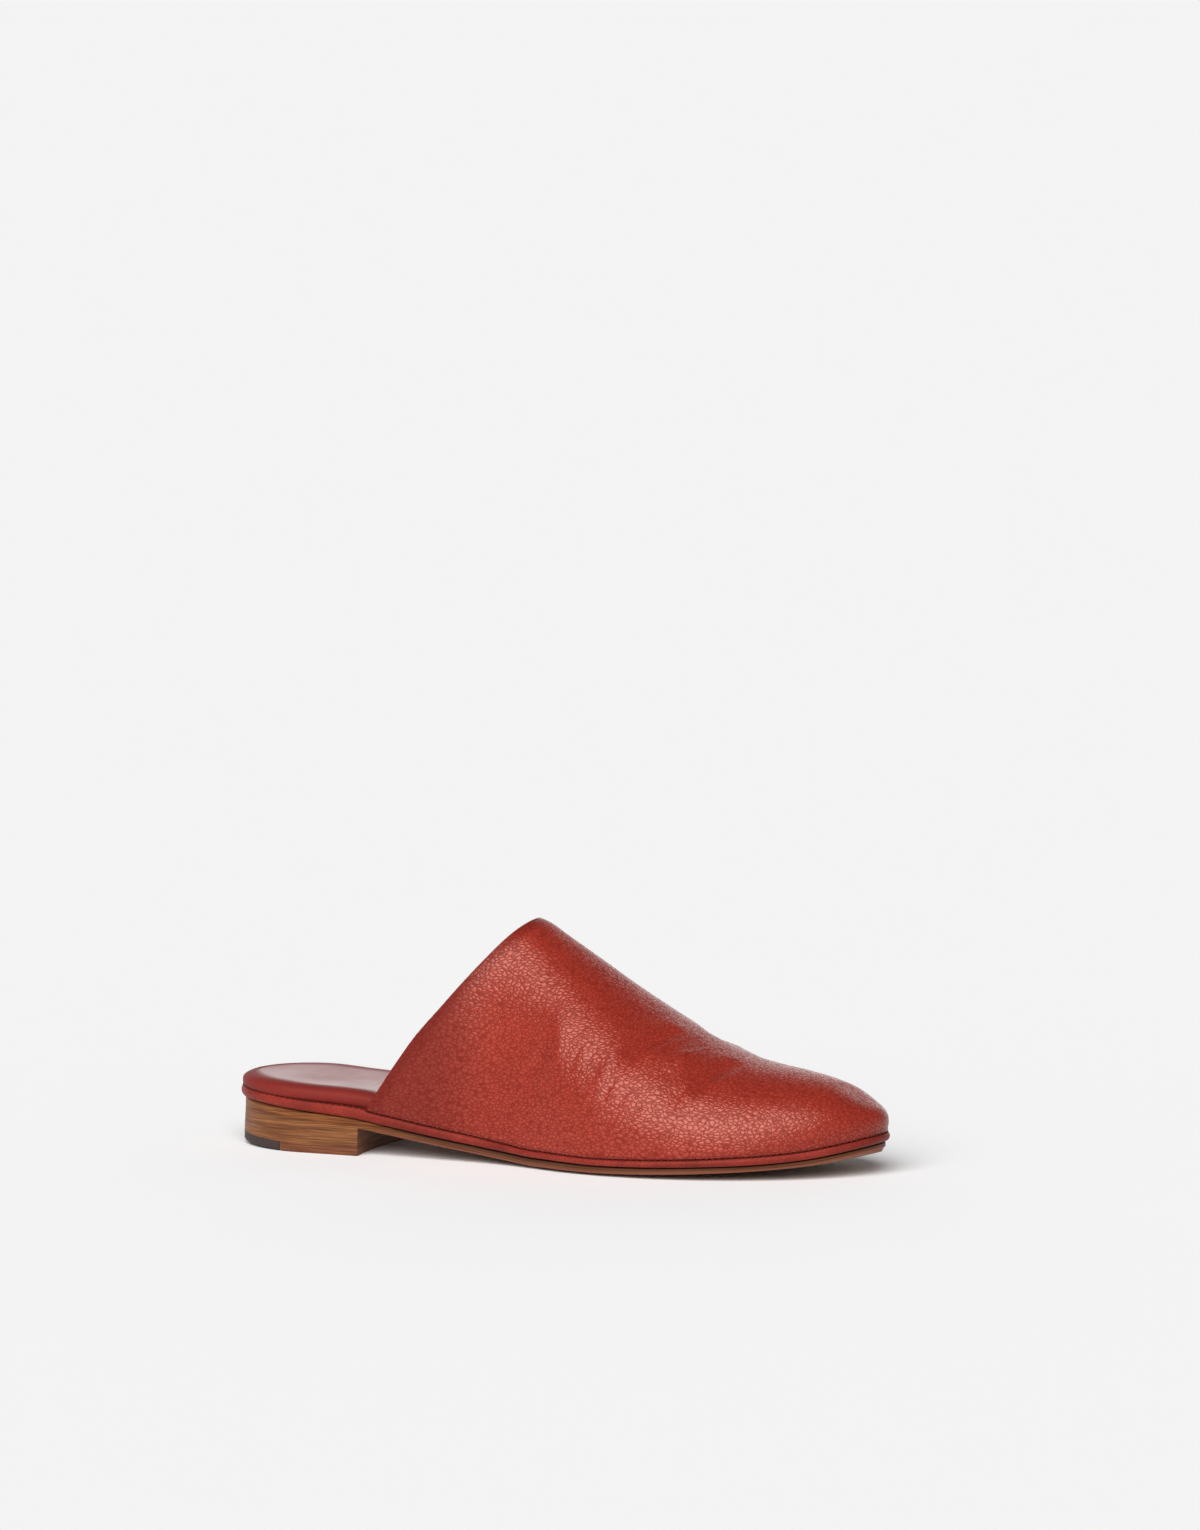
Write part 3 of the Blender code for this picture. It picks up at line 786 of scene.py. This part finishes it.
# %% [markdown]
# Soft leather remembers the foot: where the ball bends it folds, and each fold is a soft
# trough with a swelling on either side. The main ones are drawn as lines on the last, each
# with its own width and depth. A cloth simulation would give folds somewhere, but not these
# folds in these places, so they are laid in as hills and valleys along the normal.

# %% Creases
# Rows: depth and half width in mm, then points as (station's share of LENGTH, girth).
# A depth below zero is a swelling.
CREASES = {
    OUTER: (
        (2.20, 4.6, (
            (0.690, 0.84), (0.684, 0.78), (0.676, 0.71), (0.665, 0.62), (0.655, 0.51),
            (0.648, 0.39),
        )),
        (-1.30, 4.8, ((0.728, 0.78), (0.724, 0.71), (0.719, 0.63), (0.712, 0.54))),
        (1.70, 4.3, ((0.783, 0.82), (0.778, 0.75), (0.770, 0.67), (0.759, 0.55), (0.746, 0.45))),
        (-0.60, 4.5, ((0.640, 0.52), (0.635, 0.43), (0.628, 0.33), (0.617, 0.22))),
        (0.60, 1.9, ((0.742, 0.47), (0.738, 0.42), (0.736, 0.32), (0.735, 0.23))),
        (0.55, 1.8, ((0.646, 0.41), (0.642, 0.36), (0.636, 0.29), (0.629, 0.22))),
        (0.80, 4.2, ((0.528, 0.38), (0.522, 0.30), (0.507, 0.22), (0.512, 0.14))),
        (-0.55, 5.0, ((0.546, 0.52), (0.548, 0.40), (0.549, 0.31), (0.552, 0.24))),
        (0.24, 1.3, ((0.722, 0.93), (0.716, 0.84), (0.706, 0.76), (0.697, 0.68))),
        (0.22, 1.3, ((0.734, 0.90), (0.727, 0.81), (0.716, 0.72))),
        (0.22, 1.3, ((0.771, 0.86), (0.764, 0.76), (0.753, 0.66), (0.742, 0.58))),
        (0.24, 1.3, ((0.668, 0.34), (0.660, 0.27), (0.650, 0.20))),
        (0.24, 1.3, ((0.690, 0.30), (0.684, 0.24), (0.675, 0.18))),
        (0.22, 1.3, ((0.612, 0.50), (0.604, 0.42), (0.596, 0.33))),
        (0.22, 1.3, ((0.586, 0.45), (0.580, 0.37), (0.574, 0.28))),
    ),
    INNER: (
        (1.20, 4.8, ((0.711, 0.82), (0.705, 0.77), (0.694, 0.72), (0.680, 0.58), (0.672, 0.46))),
        (-0.60, 4.5, ((0.748, 0.80), (0.743, 0.73), (0.736, 0.64))),
        (1.00, 4.4, ((0.795, 0.81), (0.788, 0.75), (0.778, 0.66), (0.764, 0.52))),
        (0.36, 1.8, ((0.655, 0.44), (0.648, 0.36), (0.640, 0.26))),
        (0.50, 4.4, ((0.545, 0.42), (0.535, 0.32), (0.530, 0.22))),
        (0.24, 1.3, ((0.732, 0.88), (0.724, 0.78), (0.712, 0.68))),
        (0.22, 1.3, ((0.620, 0.46), (0.612, 0.38), (0.604, 0.29))),
    ),
}
CREASE_POINTS = 24
CREASE_END = 0.12
SWELLING = 0.75


def crease_line(side, corners):
    """Smooth line on the last through a crease's points."""
    at = np.linspace(0.0, 1.0, len(corners))
    fine = np.linspace(0.0, 1.0, CREASE_POINTS)
    station = Curve([(t, c[0]) for t, c in zip(at, corners)])(fine) * LENGTH
    girth = Curve([(t, c[1]) for t, c in zip(at, corners)])(fine)
    return last.face(side, station, girth)


def crease_rise(points):
    """How far each point moves along its normal, below zero in a trough.

    Each crease fades along its line, and across it the trough ends in a low swelling.
    """
    total = np.zeros(len(points))
    taper = np.sin(np.linspace(CREASE_END, 1.0, CREASE_POINTS) * math.pi)
    for side, rows in CREASES.items():
        for depth, width, corners in rows:
            line = crease_line(side, corners)
            best, fade = np.full(len(points), 1.0), np.zeros(len(points))
            for a, b, start, end in zip(line, line[1:], taper, taper[1:]):
                way = b - a
                t = np.clip((points - a) @ way / (way @ way), 0.0, 1.0)
                away = np.linalg.norm(points - a - t[:, None] * way, axis=1)
                nearer = away < best
                best[nearer] = away[nearer]
                fade[nearer] = (start + (end - start) * t)[nearer]
            q = (best / (width * MM)) ** 2
            total -= depth * MM * fade * (1.0 - SWELLING * q) * np.exp(-q)
    return total


def wander(points, size, seed):
    """Smooth noise, about -1 to 1, over lumps of a size in metres."""
    shift = Vector((seed, 0.0, 0.0))
    return np.array([noise.noise(Vector(p) / size + shift) for p in points])


def lay_leather(bm, extra_rise):
    """Weld a sheet over the last and move its corners along their normals."""
    bmesh.ops.remove_doubles(bm, verts=bm.verts, dist=WELD)
    bmesh.ops.recalc_face_normals(bm, faces=bm.faces)
    highest = max(bm.faces, key=lambda face: face.calc_center_median().z)
    if highest.normal.z < 0.0:
        bmesh.ops.reverse_faces(bm, faces=bm.faces)
    bm.normal_update()
    points = np.array([vert.co for vert in bm.verts]) - TO_WORLD
    layers = [bm.verts.layers.float[name] for name in ("behind", "girth")]
    behind, girth = (np.array([vert[layer] for vert in bm.verts]) for layer in layers)
    rise = crease_rise(points) + extra_rise(points, behind, girth)
    for vert, lift in zip(bm.verts, rise):
        vert.co = vert.co + vert.normal * lift


# %% [markdown]
# The upper's outer face is a fine sheet over the last, and a solidify modifier gives it the
# leather's thickness inwards. Round the opening the edge is folded under, so a strip there
# is thicker, and it rolls in a little. The sheet starts just behind the topline to make up
# for that roll. The lining is laid against the leather's inner face, and starts where the
# folded edge ends, so a clean lip of the outer leather is left.

# %% Upper leather and lining
UPPER_ROWS, UPPER_AROUND, HEM_ROWS = 204, 94, 3
LINING_ROWS, LINING_AROUND = 120, 60
LEATHER = 0.00115
FOLD_WIDTH = 0.0080
FOLD_RISE = 0.00015
ROLL_WIDTH = 0.0050
ROLL_IN = 0.0005
ROLLED_OVER = 0.00045
RIM_ROUND = 0.00045
BROAD_LUMPS, FINE_LUMPS = 0.00030, 0.00008
LINING = 0.0006
LINING_START = FOLD_WIDTH * 1.05
LINING_CLEARANCE = 0.00004


def leather_rise(points, behind, girth):
    """The folded edge is thicker and rolls in, and the sides are a little uneven."""
    fold = FOLD_RISE * (1.0 - smooth_step(behind, FOLD_WIDTH * 0.8, FOLD_WIDTH * 1.2))
    fold = fold - ROLL_IN * (1.0 - np.clip(behind / ROLL_WIDTH, 0.0, 1.0)) ** 2
    on_side = smooth_step(girth, -0.2, 0.2) * (1.0 - 0.7 * smooth_step(girth, 0.75, 1.0))
    broad, fine = wander(points, 0.021, 3.0), wander(points, 0.0065, 11.0)
    lumps = BROAD_LUMPS * broad + FINE_LUMPS * fine
    return fold + lumps * on_side


def leather_piece(name, sheet, rise, thickness):
    """Piece from a sheet over the last, moved by a function and thickened inwards."""
    bm = grid_bmesh(*sheet)
    lay_leather(bm, rise)
    piece = finish_piece(name, bm)
    wall = piece.modifiers.new("wall", "SOLIDIFY")
    wall.thickness = thickness
    wall.offset = -1.0
    wall.use_even_offset = True
    return piece, wall


sheet = upper_sheet(UPPER_ROWS, UPPER_AROUND, HEM_ROWS, left_off=-ROLLED_OVER)
upper, wall = leather_piece("creased_upper", sheet, leather_rise, WALL)
fold = upper.vertex_groups.new(name="fold")
for i, mark in enumerate(upper.data.attributes["behind"].data):
    if mark.value < FOLD_WIDTH:
        fold.add([i], 1.0, "REPLACE")
wall.vertex_group = "fold"
wall.thickness_vertex_group = LEATHER / WALL
soften = upper.modifiers.new("soften_rim", "BEVEL")
soften.width = RIM_ROUND
soften.segments = 3
soften.limit_method = "ANGLE"
soften.angle_limit = math.radians(60.0)
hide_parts("upper")

sheet = upper_sheet(LINING_ROWS, LINING_AROUND, left_off=LINING_START)
lining, _ = leather_piece(
    "upper_lining", sheet, lambda *marks: -(LEATHER + LINING_CLEARANCE), LINING,
)

# %% [markdown]
# Where the upper and the insole meet the rand, a waxed thread shows as a row of short dark
# stitches sunk into the groove. One stitch is a small sphere drawn out along the seam, and
# it is repeated at an even pitch all the way round, following the rand's own outline.

# %% Seam stitches
STITCH_PITCH = 0.0024
STITCH_LENGTH = 0.0019
STITCH_RADIUS = 0.00040
STITCH_FLATNESS = 0.8
SEAM_INSET = 0.00085
stitch_size = Vector((STITCH_LENGTH / 2.0, STITCH_RADIUS, STITCH_RADIUS * STITCH_FLATNESS))
bm = bmesh.new()
for side, outline in SIDE.items():
    count = round(outline.total / STITCH_PITCH)
    at = (np.arange(count) + 0.5) / count * outline.total
    points, outs = outline.at(at)
    for point, out, length in zip(points, outs, at):
        flat = point - out * SEAM_INSET
        nose, _ = outline.at(length + STITCH_LENGTH / 2.0)
        heel, _ = outline.at(length - STITCH_LENGTH / 2.0)
        way = Vector((*(nose - heel), rand_top(nose[0]) - rand_top(heel[0]))).normalized()
        centre = Vector((*flat, rand_top(flat[0]) + GAP / 2.0)) + Vector(TO_WORLD)
        place = Matrix.LocRotScale(centre, way.to_track_quat("X", "Z"), stitch_size)
        bmesh.ops.create_icosphere(bm, subdivisions=1, radius=1.0, matrix=place)
stitches = finish_piece("seam_stitches", bm)

# %% [markdown]
# The upper is full-grain calf, dyed through in a drum and tumbled until the grain breaks
# into soft pebbles. To the eye that is a satin red surface made of shiny little cushions
# with duller grooves between them, and the red there is darkened as painted shade. The
# grain is flat over the instep, where the leather is stretched, and deepest at the ball, and
# where it lies flat, at the back of the upper, along the seam and at the rim, the red is
# darkened too, as painted shade. A Voronoi pattern gives the pebbles, bent by noise so that
# no cell is regular, and a larger one gives fine wrinkles. The shine itself is tinted,
# because light comes back warm from a dyed and waxed surface.

# %% Tumbled red calf
# The pebbles are drawn a little larger than the finest real ones, or they would not show
PEBBLE = 0.0013
WRINKLE = 0.0042
PEBBLE_BEND = 1.6 * PEBBLE
GRAIN_TURN = math.radians(-32.0)
GRAIN_DRAW = 0.64


def cell_edges(tree, place, size):
    """Distance to the nearest edge between cells of a size, as a share of it."""
    return add(
        tree, "ShaderNodeTexVoronoi", {"feature": "DISTANCE_TO_EDGE"},
        Vector=place, Scale=1.0 / size,
    ).outputs["Distance"]


def tumbled_calf(name, light, dark, relief, roughness):
    material, tree, shader = new_material(name)
    place = add(tree, "ShaderNodeTexCoord").outputs["Object"]
    drawn = add(
        tree, "ShaderNodeMapping", Vector=place,
        Rotation=(0.0, GRAIN_TURN, 0.0), Scale=(GRAIN_DRAW, 1.0, 1.0),
    ).outputs["Vector"]
    waves = add(tree, "ShaderNodeTexNoise", Vector=drawn, Scale=260.0, Detail=2.0)
    centred = add(
        tree, "ShaderNodeVectorMath", {"operation": "SUBTRACT"},
        _0=waves.outputs["Color"], _1=(0.5, 0.5, 0.5),
    ).outputs["Vector"]
    bent = add(
        tree, "ShaderNodeVectorMath", {"operation": "MULTIPLY_ADD"},
        _0=centred, _1=(PEBBLE_BEND,) * 3, _2=drawn,
    ).outputs["Vector"]
    cells = cell_edges(tree, bent, PEBBLE)
    cushion = spread(tree, cells, 0.0, 0.40, smooth=True)
    groove = spread(tree, cells, 0.0, 0.22, smooth=True)
    wrinkle = spread(tree, cell_edges(tree, bent, WRINKLE), 0.0, 0.14, smooth=True)
    height = maths(tree, "MULTIPLY_ADD", wrinkle, 0.45, cushion)
    height = maths(tree, "MULTIPLY_ADD", cloud(tree, place, 2600.0, 2.0), 0.25, height)
    grain_slack_and_shade = add(tree, "ShaderNodeAttribute", {"attribute_name": "grain_slack_and_shade"}).outputs["Fac"]
    mottled = spread(tree, cloud(tree, place, 42.0, 3.0), 0.3, 0.7, 0.84, 1.0)
    # Painted shade: the red darkens in the grooves and where the grain lies flat. The mottling is
    # the leather's own tone.
    amount = maths(tree, "MULTIPLY", spread(tree, groove, 0.0, 1.0, 0.43, 1.0), mottled)
    amount = maths(tree, "MULTIPLY", amount, spread(tree, grain_slack_and_shade, 0.20, 0.75, 0.30, 1.0))
    feed(
        tree, shader, Base_Color=mix(tree, amount, colour(dark), colour(light)),
        Roughness=spread(tree, groove, 0.0, 1.0, roughness + 0.15, roughness),
        Specular_IOR_Level=spread(tree, groove, 0.0, 1.0, 0.26, 0.76),
        Specular_Tint=colour("ffd0c0"), IOR=1.50, Normal=bump(tree, height, grain_slack_and_shade, relief),
    )
    return material


red_calf = tumbled_calf("tumbled_red_calf", "9f3325", "5e130f", 0.00008, 0.27)

# %% [markdown]
# The insole and the lining are glazed sheepskin, dyed to match: the same red, but pressed
# smooth, so the insole's top catches the pale room as a soft sheen at a low angle. Its side
# is handled leather and duller, and v in the UV map tells how far down the side a point is.
# The rand is the same calf as the upper, thinned and stretched, with a finer grain.

# %% Smooth red leathers
PAD_SHOULDER = 0.0052


def smooth_leather(name, light, dark, pore, relief, roughness, matt_sides=0.0):
    """Leather with fine pores and a mottled tone. matt_sides is added to the pad's side."""
    material, tree, shader = new_material(name)
    place = add(tree, "ShaderNodeTexCoord").outputs["Object"]
    pores = add(
        tree, "ShaderNodeTexVoronoi", {"feature": "SMOOTH_F1"},
        Vector=place, Scale=1.0 / pore, Smoothness=0.6,
    ).outputs["Distance"]
    height = maths(tree, "MULTIPLY_ADD", cloud(tree, place, 900.0, 3.0), 0.6, pores)
    tone = cloud(tree, place, 60.0, 3.0)
    mottled = spread(tree, tone, 0.30, 0.65, 0.35, 1.0)
    flecks = spread(tree, cloud(tree, place, 1400.0, 1.0), 0.35, 0.55, 0.55, 1.0)
    amount = maths(tree, "MULTIPLY", flecks, mottled)
    sheen = spread(tree, tone, 0.3, 0.7, roughness, roughness + 0.08)
    if matt_sides:
        low, high = PAD_SHOULDER - 0.001, PAD_SHOULDER + 0.005
        dull = spread(tree, height_on_uv(tree), low, high, matt_sides, 0.0)
        sheen = maths(tree, "ADD", sheen, dull)
    feed(
        tree, shader, Base_Color=mix(tree, amount, colour(dark), colour(light)),
        Roughness=sheen, Specular_Tint=colour("ffa890"), IOR=1.45,
        Normal=bump(tree, height, 0.6, relief),
    )
    return material


insole_sheepskin = smooth_leather(
    "glazed_red_sheepskin", "7e2824", "702320", 0.0009, 0.00003, 0.27, matt_sides=0.30,
)
lining_sheepskin = smooth_leather(
    "matt_red_sheepskin", "a63a34", "862a26", 0.0009, 0.00004, 0.48,
)
rand_calf = smooth_leather("stretched_red_calf", "903028", "501210", 0.0007, 0.00007, 0.50)
thread = smooth_leather("waxed_maroon_thread", "4a1512", "2c0b0a", 0.0003, 0.00004, 0.55)

# %% [markdown]
# Heel and sole are vegetable-tanned leather. The block is a stack of lifts, and sanding cuts
# through their fibres, so the side looks like fine-grained wood: long thin streaks that lie
# level, some darker where the dye went deeper, and a faint line at each joint between lifts.
# The grain's noise is squeezed to a fraction of a millimetre in height and drawn out along
# the heel to get that look.

# %% Stacked leather
LIFT = 0.0046
JOINT = 0.00022
STREAK_HEIGHT = 0.00036
STREAK_LENGTH = 0.017


def streaks(tree, vector, height, length, detail=3.0):
    """Noise drawn out along a surface, from a vector whose Z runs across the fibres."""
    scale = (1.0 / length, 1.0 / length, 1.0 / height)
    drawn = add(tree, "ShaderNodeMapping", Vector=vector, Scale=scale).outputs["Vector"]
    return add(
        tree, "ShaderNodeTexNoise", Vector=drawn, Scale=1.0, Detail=detail, Roughness=0.6,
    ).outputs["Fac"]


def sanded_fibres(tree, place, light, middle, dark):
    """Colour and relief of a stack of lifts that was sanded as one."""
    fine = streaks(tree, place, STREAK_HEIGHT, STREAK_LENGTH)
    broad = streaks(tree, place, STREAK_HEIGHT * 4.5, STREAK_LENGTH * 1.6, 2.0)
    both = maths(tree, "MULTIPLY_ADD", broad, 0.5, fine)
    ramp = add(tree, "ShaderNodeValToRGB", Fac=spread(tree, both, 0.50, 0.98))
    stops = ramp.color_ramp.elements
    stops[0].color, stops[1].color = colour(dark), colour(light)
    stops.new(0.45).color = colour(middle)
    height = add(tree, "ShaderNodeSeparateXYZ", Vector=place).outputs["Z"]
    from_joint = maths(tree, "PINGPONG", height, LIFT / 2.0)
    joint = spread(tree, from_joint, 0.0, JOINT, 0.78, 1.0)
    lined = mix(tree, 1.0, ramp.outputs["Color"], joint, "MULTIPLY")
    return lined, maths(tree, "MULTIPLY_ADD", joint, 1.5, fine)


def stacked_leather(name, light, middle, dark):
    material, tree, shader = new_material(name)
    place = add(tree, "ShaderNodeTexCoord").outputs["Object"]
    fibres, relief = sanded_fibres(tree, place, light, middle, dark)
    feed(
        tree, shader, Base_Color=fibres, Roughness=0.52, Specular_Tint=colour("ffdcc0"),
        Normal=bump(tree, relief, 0.5, 0.00006),
    )
    return material


STACK = ("9c6639", "6c3f24", "452415")
heel_stack = stacked_leather("sanded_stacked_leather", *STACK)
lift_stack = stacked_leather("sanded_top_lift", "8a5433", "653723", "432215")

# %% [markdown]
# The outsole is one material with three finishes. Beside the heel its edge is sanded with
# the block and looks the same. Ahead of the heel the edge is stained brown, darkened towards
# its top as painted shade under the rand, with a paler strip where the floor edge was
# trimmed. Underneath it is smooth brown sole leather. The piece's own UV map tells them
# apart, because v is the height above the lower edge.

# %% Sole leather
STAIN_START_X = -0.078
STAIN_END_X = -0.036
STRIP_TOP, STRIP_FADE = 0.00075, 0.00045
UNDER_RAND_SHADE_START, UNDER_RAND_SHADE_END = 0.0012, 0.0028


def stained_sole(name):
    material, tree, shader = new_material(name)
    place = add(tree, "ShaderNodeTexCoord").outputs["Object"]
    up = height_on_uv(tree)
    along = up.node.outputs["X"]
    turned = add(tree, "ShaderNodeCombineXYZ", X=along, Z=up).outputs["Vector"]
    stain = add(tree, "ShaderNodeValToRGB", Fac=streaks(tree, turned, 0.00075, 0.045))
    stops = stain.color_ramp.elements
    stops[0].position, stops[1].position = 0.30, 0.72
    stops[0].color, stops[1].color = colour("40251a"), colour("7a4d36")
    # Painted shade: the stained edge darkens towards its top, in the rand's overhang.
    under_rand_shade = spread(tree, up, UNDER_RAND_SHADE_START, UNDER_RAND_SHADE_END, 0.0, 0.85)
    shaded_stain = mix(tree, under_rand_shade, stain.outputs["Color"], colour("24130e"))
    strip = spread(tree, up, STRIP_TOP, STRIP_FADE)
    edge = mix(tree, strip, shaded_stain, colour("864a3a"))
    beside_heel, _ = sanded_fibres(tree, place, *STACK)
    x = add(tree, "ShaderNodeSeparateXYZ", Vector=place).outputs["X"]
    ahead_of_heel = spread(tree, x, STAIN_START_X, STAIN_END_X, smooth=True)
    whole_edge = mix(tree, ahead_of_heel, beside_heel, edge)
    under = mix(tree, cloud(tree, place, 55.0, 5.0), colour("6f4a35"), colour("9a6e50"))
    is_under = spread(tree, up, 0.0, -0.0004)
    feed(
        tree, shader, Base_Color=mix(tree, is_under, whole_edge, under), Roughness=0.50,
        Specular_Tint=colour("e09a78"),
        Normal=bump(tree, cloud(tree, place, 1500.0, 3.0), 0.4, 0.00005),
    )
    return material


sole_leather = stained_sole("stained_sole_leather")

# %% [markdown]
# The back of the top lift is hard brown rubber, moulded matt, with a fine dusty tooth from
# sanding it level with the leather.

# %% Top-lift rubber
top_lift_rubber, tree, shader = new_material("hard_brown_rubber")
place = add(tree, "ShaderNodeTexCoord").outputs["Object"]
dust = cloud(tree, place, 900.0, 4.0)
feed(
    tree, shader, Base_Color=mix(tree, dust, colour("2a1c19"), colour("40302d")),
    Roughness=0.68, Normal=bump(tree, dust, 0.4, 0.00005),
)

# %% [markdown]
# The grain isn't equally deep all over. It is pulled flat over the instep and lies loosest
# at the ball, and near the seam and the rim it is flat again. Each corner of the upper gets
# that slackness as an attribute, which its material reads, and where it is low the material
# also darkens the red as painted shade. Then each piece gets its finish.

# %% Put the finishes on
# Rows: place along the shoe, slackness, which also sets the painted shade
SLACK_AND_SHADE_ROWS = (
    (0.00, 0.30), (0.33, 0.34), (0.45, 0.80), (0.62, 1.00),
    (0.72, 0.95), (0.85, 0.78), (1.00, 0.66),
)
# Low values at the seam and the rim also darken the red there as painted shade.
SLACK_AND_SHADE_AT_SEAM, SLACK_AND_SHADE_AT_RIM = 0.40, 0.45
slack_and_shade_along = Curve(SLACK_AND_SHADE_ROWS)
grain_slack_and_shade = upper.data.attributes.new("grain_slack_and_shade", "FLOAT", "POINT")
girths, behinds = upper.data.attributes["girth"].data, upper.data.attributes["behind"].data
for mark, vert, girth, behind in zip(grain_slack_and_shade.data, upper.data.vertices, girths, behinds):
    share = (vert.co.x - TO_WORLD[0]) / LENGTH
    off_seam = smooth_step(girth.value, -0.4, 0.25)
    off_rim = smooth_step(behind.value, 0.001, 0.007)
    at_seam = SLACK_AND_SHADE_AT_SEAM + (1.0 - SLACK_AND_SHADE_AT_SEAM) * off_seam
    at_rim = SLACK_AND_SHADE_AT_RIM + (1.0 - SLACK_AND_SHADE_AT_RIM) * off_rim
    mark.value = float(slack_and_shade_along(share) * at_seam * at_rim)

finishes = (
    (upper, red_calf), (lining, lining_sheepskin), (insole, insole_sheepskin),
    (rand, rand_calf), (stitches, thread), (outsole, sole_leather),
    (heel_block, heel_stack), (leather_lift, lift_stack), (rubber_lift, top_lift_rubber),
)
for piece, finish in finishes:
    piece.data.materials.append(finish)

# %% [markdown]
# The studio is a sheet of pale paper under a very large soft light. The light is overhead
# and in front, so it is a wide sun whose edge is soft, and the room itself glows: brightest
# low behind the shoe, straight across from the camera, where the paper sweeps up, dimmer all
# round and darker overhead. That bright patch is what the insole and the toe mirror. Being
# far away, both light the paper evenly to the edge of the picture.

# %% Floor and light
PAPER_HALF = 40.0
# Level direction over the shoe to where the paper sweeps up
TO_SWEEP = (-0.395, 0.918, 0.0)
bm = bmesh.new()
bmesh.ops.create_grid(bm, x_segments=1, y_segments=1, size=PAPER_HALF)
mesh = bpy.data.meshes.new("paper_floor")
bm.to_mesh(mesh)
bm.free()
paper = bpy.data.objects.new("paper_floor", mesh)
bpy.context.scene.collection.objects.link(paper)
paper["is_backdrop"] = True
material, tree, shader = new_material("pale_paper")
feed(tree, shader, Base_Color=colour("fdfdfd"), Roughness=0.9, Specular_IOR_Level=0.0)
mesh.materials.append(material)

room = bpy.data.worlds.new("studio_room")
bpy.context.scene.world = room
room.use_nodes = True
tree = room.node_tree
direction = add(tree, "ShaderNodeTexCoord").outputs["Generated"]
facing = add(
    tree, "ShaderNodeVectorMath", {"operation": "DOT_PRODUCT"}, _0=direction, _1=TO_SWEEP,
).outputs["Value"]
height = add(tree, "ShaderNodeSeparateXYZ", Vector=direction).outputs["Z"]
behind_shoe = spread(tree, facing, 0.60, 0.98, 0.36, 1.58, smooth=True)
overhead = spread(tree, height, 0.26, 0.56, 1.0, 0.20, smooth=True)
glow = maths(tree, "MULTIPLY", behind_shoe, overhead)
feed(tree, tree.nodes["Background"], Strength=glow, Color=(1.0, 1.0, 1.0, 1.0))


def direction_from(azimuth, elevation):
    """Unit vector towards a place in degrees round from the front and up."""
    a, e = math.radians(azimuth), math.radians(elevation)
    return Vector((math.sin(a) * math.cos(e), -math.cos(a) * math.cos(e), math.sin(e)))


softbox = bpy.data.lights.new("overhead_softbox", "SUN")
softbox.energy = 3.6
softbox.angle = math.radians(56.0)
lamp = bpy.data.objects.new("overhead_softbox", softbox)
lamp.rotation_euler = direction_from(8.0, 41.0).to_track_quat("Z", "Y").to_euler()
bpy.context.scene.collection.objects.link(lamp)
bpy.context.scene.view_settings.view_transform = "Standard"

# %% [markdown]
# The camera stands four metres away with a long lens, a little above the floor and turned a
# quarter of the way from the side towards the toe. Its place is worked out from one known
# point: the near lower corner of the heel's breast and its pixel in the photograph.

# %% Camera
AZIMUTH, ELEVATION = 23.3, 6.417
DISTANCE = 4.0
FOCAL_PIXELS = 10720.0
IMAGE_WIDTH, IMAGE_HEIGHT = 1200, 1530
ANCHOR = Vector((-0.06979, -0.02967, 0.0))
ANCHOR_PIXEL = (357.3, 1156.2)

back = direction_from(AZIMUTH, ELEVATION)
turn = back.to_track_quat("Z", "Y")
right, up = turn @ Vector((1.0, 0.0, 0.0)), turn @ Vector((0.0, 1.0, 0.0))
away_right = (ANCHOR_PIXEL[0] - IMAGE_WIDTH / 2) / FOCAL_PIXELS
away_up = (IMAGE_HEIGHT / 2 - ANCHOR_PIXEL[1]) / FOCAL_PIXELS
lens = bpy.data.cameras.new("camera")
lens.sensor_width = 36.0
lens.lens = 36.0 * FOCAL_PIXELS / IMAGE_HEIGHT
lens.clip_end = 200.0
camera = bpy.data.objects.new("camera", lens)
camera.rotation_euler = turn.to_euler()
camera.location = ANCHOR - DISTANCE * (right * away_right + up * away_up - back)
bpy.context.scene.collection.objects.link(camera)
bpy.context.scene.camera = camera
print("camera at", [round(c, 4) for c in camera.location], "lens %.1f mm" % lens.lens)

# %% Compare sizes and finish
seen_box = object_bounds()
sizes = [[[float(c) for c in corner] for corner in box] for box in (cad_box, seen_box)]
for axis, (lowest, highest) in enumerate(zip(*sizes[1])):
    cad = sizes[0][1][axis] - sizes[0][0][axis]
    print("%s: CAD %.1f mm, dressed %.1f mm" % ("XYZ"[axis], cad / MM, (highest - lowest) / MM))
